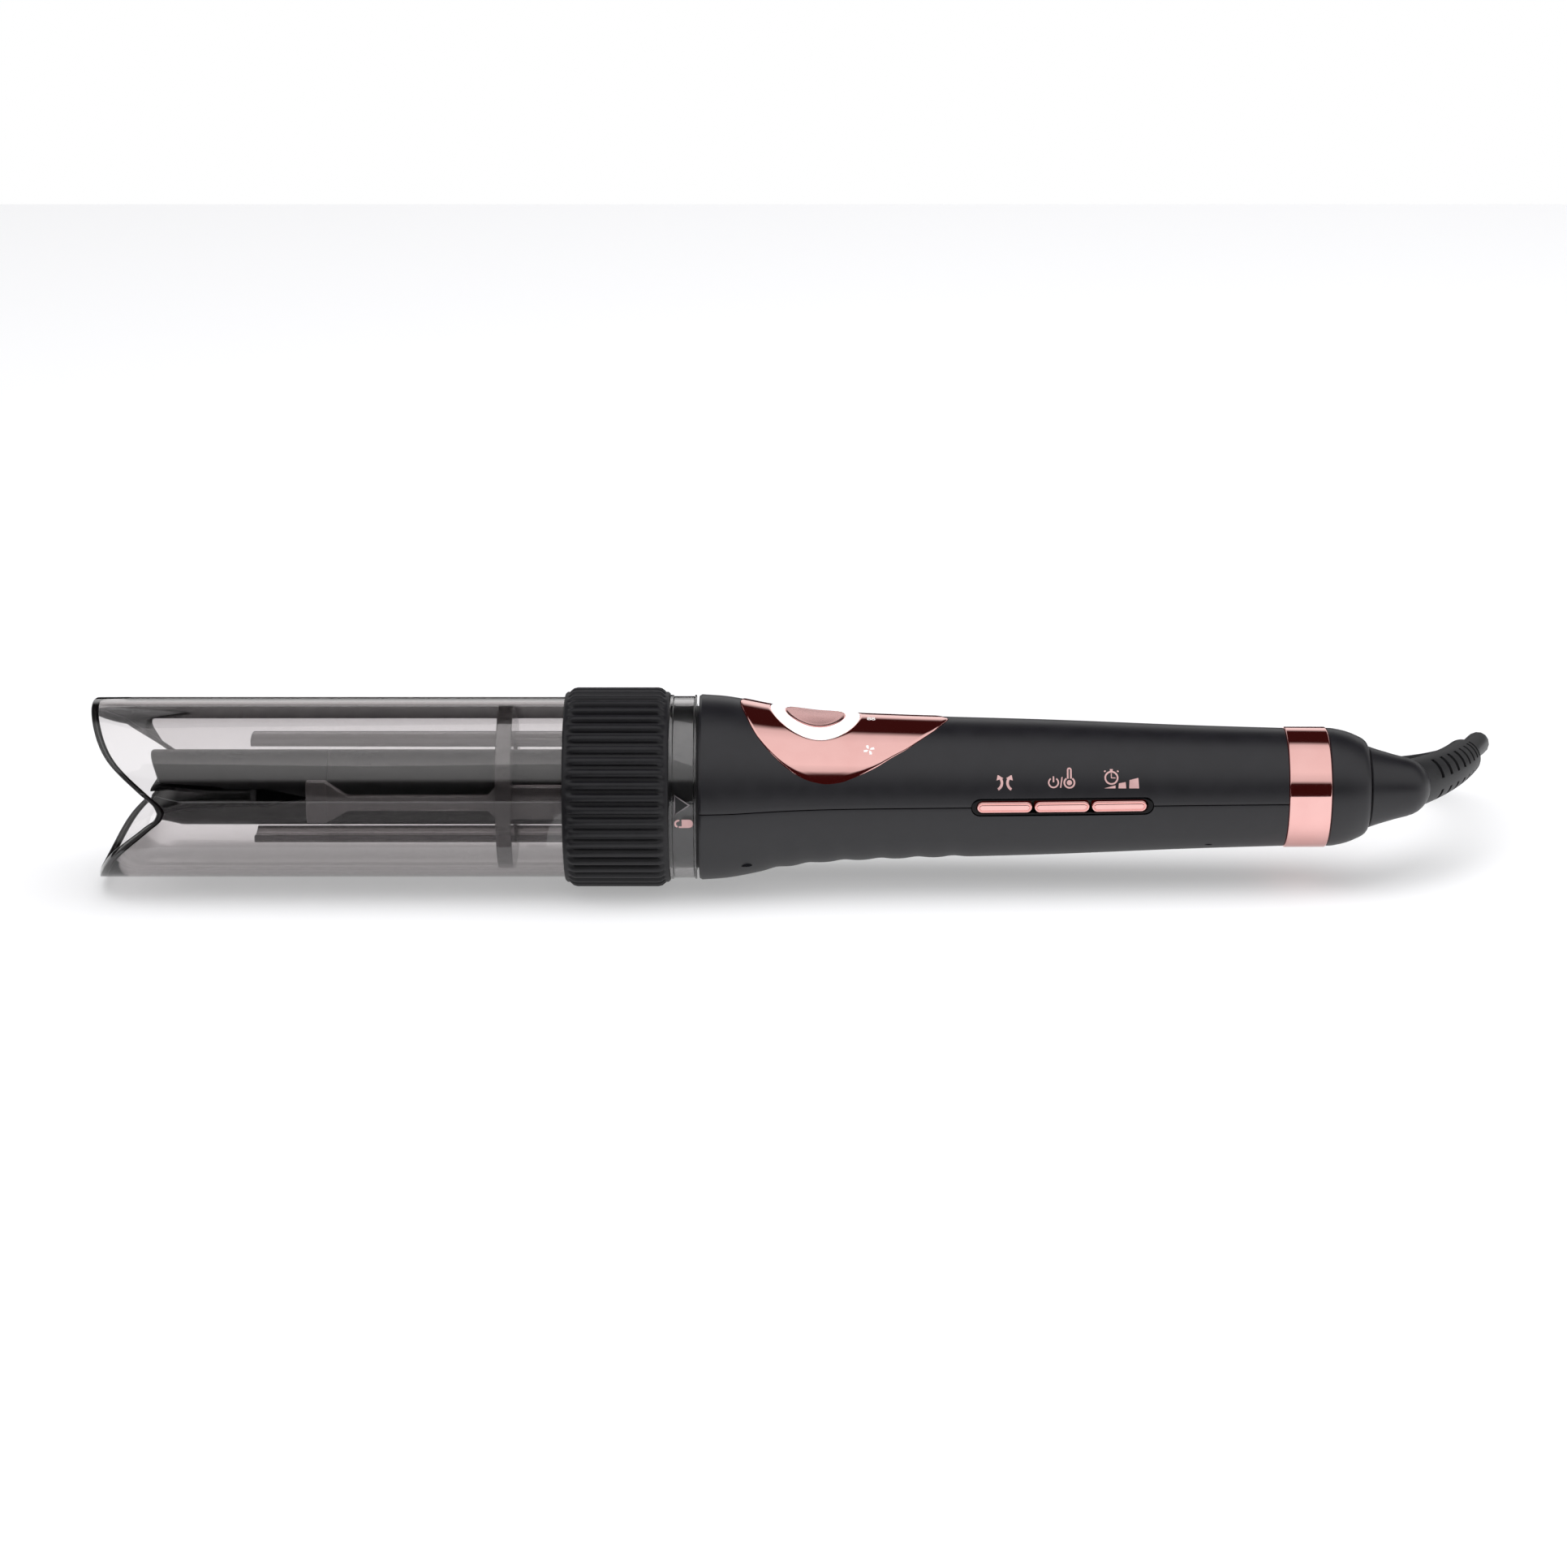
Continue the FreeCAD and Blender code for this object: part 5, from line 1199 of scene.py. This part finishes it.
def rotation_mark():
    mesh = bmesh.new()
    for side in (-1, 1):
        flat_disc(mesh, side * 2.75, -0.1, 2.35, 1.65, *((118, 242) if side > 0 else (-62, 62)), steps=10)
        flat_shape(mesh, [(side * 0.35, 1.15), (side * 1.9, 2.05), (side * 2.2, 0.55)])
    return mesh


def power_mark():
    mesh = bmesh.new()
    flat_disc(mesh, -2.1, 0, 1.5, 1.1, 125, 415, steps=20)
    flat_shape(mesh, [(-2.3, 0.1), (-1.9, 0.1), (-1.9, 1.7), (-2.3, 1.7)])
    flat_shape(mesh, [(-0.35, -1.4), (0.0, -1.4), (0.4, 1.5), (0.05, 1.5)])
    flat_disc(mesh, 2.2, 0, 1.6, 1.15, 125, 415, steps=20)
    flat_disc(mesh, 2.2, 0, 0.7)
    flat_shape(mesh, [(1.55, 1.1), (2.0, 1.1), (2.0, 3.5), (1.55, 3.5)])
    flat_shape(mesh, [(2.4, 1.1), (2.85, 1.1), (2.85, 3.5), (2.4, 3.5)])
    flat_disc(mesh, 2.2, 3.5, 0.65, 0.22, 0, 180, steps=8)
    return mesh


def timer_mark():
    mesh = bmesh.new()
    flat_disc(mesh, -2.3, 1.5, 1.9, 1.45, 0, 360, steps=24)
    flat_shape(mesh, [(-2.45, 1.4), (-2.2, 1.4), (-2.2, 2.8), (-2.45, 2.8)])
    flat_shape(mesh, [(-2.3, 1.35), (-1.2, 1.35), (-1.2, 1.6), (-2.3, 1.6)])
    flat_shape(mesh, [(-2.7, 3.4), (-1.9, 3.4), (-1.9, 3.9), (-2.7, 3.9)])
    flat_shape(mesh, [(-4.1, 3.0), (-3.75, 3.3), (-4.0, 3.6), (-4.35, 3.3)])
    flat_shape(mesh, [(-0.5, 3.0), (-0.85, 3.3), (-0.6, 3.6), (-0.25, 3.3)])
    flat_shape(mesh, [(-4.3, -1.35), (-1.2, -1.35), (-1.2, -0.55)])
    flat_shape(mesh, [(-0.4, -1.35), (1.7, -1.35), (1.55, 0.35), (-0.3, 0.0)])
    flat_shape(mesh, [(2.5, -1.35), (5.2, -1.35), (5.0, 1.5), (2.6, 0.9)])
    return mesh


def blade_mark():
    """Four small blades round a centre."""
    mesh = bmesh.new()
    for number in range(4):
        turn = math.radians(90 * number + 20)
        blade = [(0.2, 0.05), (0.8, 0.45), (1.55, 0.3), (1.45, -0.35), (0.75, -0.25)]
        flat_shape(mesh, [
            (a * math.cos(turn) - b * math.sin(turn), a * math.sin(turn) + b * math.cos(turn))
            for a, b in blade
        ])
    return mesh


def scale_mark():
    """Two small figures of eight beside the light ring."""
    mesh = bmesh.new()
    for a in (-0.75, 0.35):
        flat_disc(mesh, a + 0.2, 0.55, 0.5, 0.25, 0, 360, steps=12)
        flat_disc(mesh, a + 0.2, -0.45, 0.6, 0.32, 0, 360, steps=12)
    return mesh


def lock_mark():
    """Open padlock lying on its side."""
    mesh = bmesh.new()
    flat_shape(mesh, [(-0.3, -1.2), (1.9, -1.2), (2.45, -0.9), (2.7, -0.3), (2.7, 0.3), (2.45, 0.9),
                      (1.9, 1.2), (-0.3, 1.2)])
    flat_disc(mesh, -1.1, 0, 1.2, 0.7, 80, 250, steps=10)
    flat_shape(mesh, [(-1.1, -1.2), (-0.3, -1.2), (-0.3, -0.75), (-1.1, -0.75)])
    return mesh


def arrow_mark():
    mesh = bmesh.new()
    flat_shape(mesh, [(-2.1, -2.9), (-2.1, 2.9), (2.2, 0)])
    return mesh


def arrow_edge_mark():
    """A fine line round the arrow."""
    mesh = bmesh.new()
    outer = [(-2.1, -2.9), (2.2, 0), (-2.1, 2.9)]
    inner = [(-1.8, -2.35), (1.62, 0), (-1.8, 2.35)]
    for i in range(3):
        j = (i + 1) % 3
        flat_shape(mesh, [outer[i], outer[j], inner[j], inner[i]])
    return mesh


def on_collar(station, angle):
    """A place on the collar's land, a hair above it."""
    radius = COLLAR_LAND_R + 0.02

    def place(a, b, lift):
        return about_axis(station + a, radius + lift, angle - math.degrees(b / radius))
    return place


def on_panel(station, angle):
    def place(a, b, lift):
        where = station + a
        radius = handle_radius(where) + PANEL_LIFT
        return about_axis(where, radius + lift, angle - math.degrees(b / radius))
    return place


printed("rotation_arrows_mark", rotation_mark(), on_handle(248.0, 69.0), PINK_INK, "handle")
printed("power_and_heat_mark", power_mark(), on_handle(263.3, 69.0), PINK_INK, "handle")
printed("timer_mark", timer_mark(), on_handle(279.2, 69.5), PINK_INK, "handle")
printed("fan_blades_mark", blade_mark(), on_panel(211.4, 43.0), WHITE_INK, "handle")
printed("ring_scale_mark", scale_mark(), on_panel(212.2, 6.0), WHITE_INK, "handle")
printed("open_lock_mark", lock_mark(), on_collar(161.2, 96.0), PINK_INK, "chamber")
printed("lock_arrow_mark", arrow_mark(), on_collar(161.0, 84.0), BLACK_INK, "chamber")
printed("lock_arrow_line", arrow_edge_mark(), on_collar(161.0, 84.0), GREY_INK, "chamber", 0.06)


# ---------------------------------------------------------------- finishes of the CAD nodes kept
KEPT_FINISHES = {
    "front_bulkhead": HUB_PLASTIC, "front_bush": BRONZE, "rear_bush": BRONZE, "gear_frame": NYLON,
    "brush_holder": HUB_PLASTIC, "brushes": BRASS, "motor_gearbox": MOTOR_STEEL, "motor_can": MOTOR_STEEL,
    "motor_bracket": NYLON, "motor_screws": STEEL, "handle_screws": BLACK_STEEL, "control_board": BOARD,
    "curl_switch": BLACK_EPOXY, "ring_leds": LAMP, "side_button_board": BOARD,
    "side_switches": BLACK_EPOXY, "main_board": BOARD, "power_converter": BLACK_EPOXY,
    "filter_capacitor": CAPACITOR, "swivel_brush_plate": NYLON, "bayonet_ring": HUB_PLASTIC,
    "barrel_hub": HUB_PLASTIC, "drive_shaft": STEEL, "heater_block": ALUMINIUM, "thermal_fuse": FUSE,
    "slip_ring_sleeve": NYLON, "slip_rings": BRASS, "driven_gear": ACETAL, "motor_pinion": BRASS,
    "motor_shaft": STEEL, "swivel_retainer": STEEL, "swivel_contact_disc": BRASS,
}
for node, finish in KEPT_FINISHES.items():
    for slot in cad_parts[node].material_slots:
        slot.material = finish


# ---------------------------------------------------------------- floor and light
def make_floor():
    mesh = bmesh.new()
    bmesh.ops.create_grid(mesh, x_segments=1, y_segments=1, size=1.15)
    data = bpy.data.meshes.new("studio_floor")
    mesh.to_mesh(data)
    mesh.free()
    floor = bpy.data.objects.new("studio_floor", data)
    bpy.context.scene.collection.objects.link(floor)
    material, _, _ = new_material(
        "lit_opal_table", Base_Color=colour("#C9C9CB"), Roughness=0.9, Specular_IOR_Level=0.1,
        Emission_Color=colour("#FFFFFF"), Emission_Strength=0.36,
    )
    data.materials.append(material)


def add_flag(name, material, low, high):
    """Dark studio card between two opposite corners; only mirrors and lenses see it."""
    size = Vector(high) - Vector(low)
    middle = (Vector(high) + Vector(low)) / 2
    mesh = bmesh.new()
    bmesh.ops.create_cube(mesh, size=1.0)
    scale = Matrix.Diagonal((*size, 1.0))
    bmesh.ops.transform(mesh, matrix=Matrix.Translation(middle) @ scale, verts=mesh.verts)
    data = bpy.data.meshes.new(name)
    mesh.to_mesh(data)
    mesh.free()
    flag = bpy.data.objects.new(name, data)
    bpy.context.scene.collection.objects.link(flag)
    data.materials.append(material)
    flag.visible_camera = False
    flag.visible_diffuse = False
    flag.visible_shadow = False
    return flag


def add_flags():
    """A low card behind the object, which the tube bends into view, and one lying before it."""
    velvet, _, _ = new_material("black_velvet", Base_Color=colour("#0A0709"), Roughness=1.0,
                                Specular_IOR_Level=0.0)
    add_flag("back_flag", velvet, (-0.9, 0.3, 0.001), (0.9, 0.302, 0.085))
    front = add_flag("front_flag", velvet, (-0.5, -0.6, 0.0005), (-0.06, -0.03, 0.0015))
    front.visible_transmission = False


def make_studio_world():
    """White to the camera. For the object, bands by the height angle from the near side, over the
    top to the far side: light below and overhead, dark low in front and dark high behind."""
    world = bpy.data.worlds.new("studio")
    bpy.context.scene.world = world
    world.use_nodes = True
    tree = world.node_tree
    tree.nodes.clear()
    direction = add(tree, "TexCoord").outputs["Generated"]
    split = add(tree, "SeparateXYZ", inputs={"Vector": direction})
    towards = add(tree, "Math", {"operation": "MULTIPLY"}, {0: split.outputs["Y"], 1: -1.0})
    angle = add(tree, "Math", {"operation": "ARCTAN2"}, {0: split.outputs["Z"], 1: towards.outputs[0]})
    full_turn = {"Value": angle.outputs[0], "From Min": -math.pi, "From Max": math.pi}
    share = add(tree, "MapRange", inputs=full_turn)
    levels = [(-180, 1.0), (-9, 1.0), (-6, 0.006), (23, 0.006), (28, 0.8), (45, 1.0), (90, 0.95),
              (104, 0.8), (112, 0.008), (150, 0.008), (160, 1.0), (180, 1.0)]
    stops = [((degrees + 180) / 360, (level, level, level, 1)) for degrees, level in levels]
    bands = add(tree, "ValToRGB", inputs={"Fac": share.outputs["Result"]}, stops=stops)
    ray = add(tree, "LightPath").outputs["Is Camera Ray"]
    seen = add(tree, "Mix", {"data_type": "RGBA"}, {0: ray, 6: bands.outputs["Color"], 7: (1, 1, 1, 1)})
    background = add(tree, "Background", inputs={"Color": seen.outputs[2], "Strength": 1.0})
    output = add(tree, "OutputWorld")
    tree.links.new(background.outputs["Background"], output.inputs["Surface"])


def add_softbox():
    """A large light overhead that mirrors don't show."""
    data = bpy.data.lights.new("overhead_softbox", "AREA")
    data.shape = "RECTANGLE"
    data.size, data.size_y = 2.6, 1.4
    data.energy = 26.0
    light = bpy.data.objects.new("overhead_softbox", data)
    bpy.context.scene.collection.objects.link(light)
    place, target = Vector((0.1, -0.1, 1.6)), Vector((0, 0, 0.02))
    light.location = place
    light.rotation_euler = (target - place).to_track_quat("-Z", "Y").to_euler()
    light.visible_glossy = False


make_floor()
add_flags()
make_studio_world()
add_softbox()
bpy.context.scene.view_settings.view_transform = "Standard"
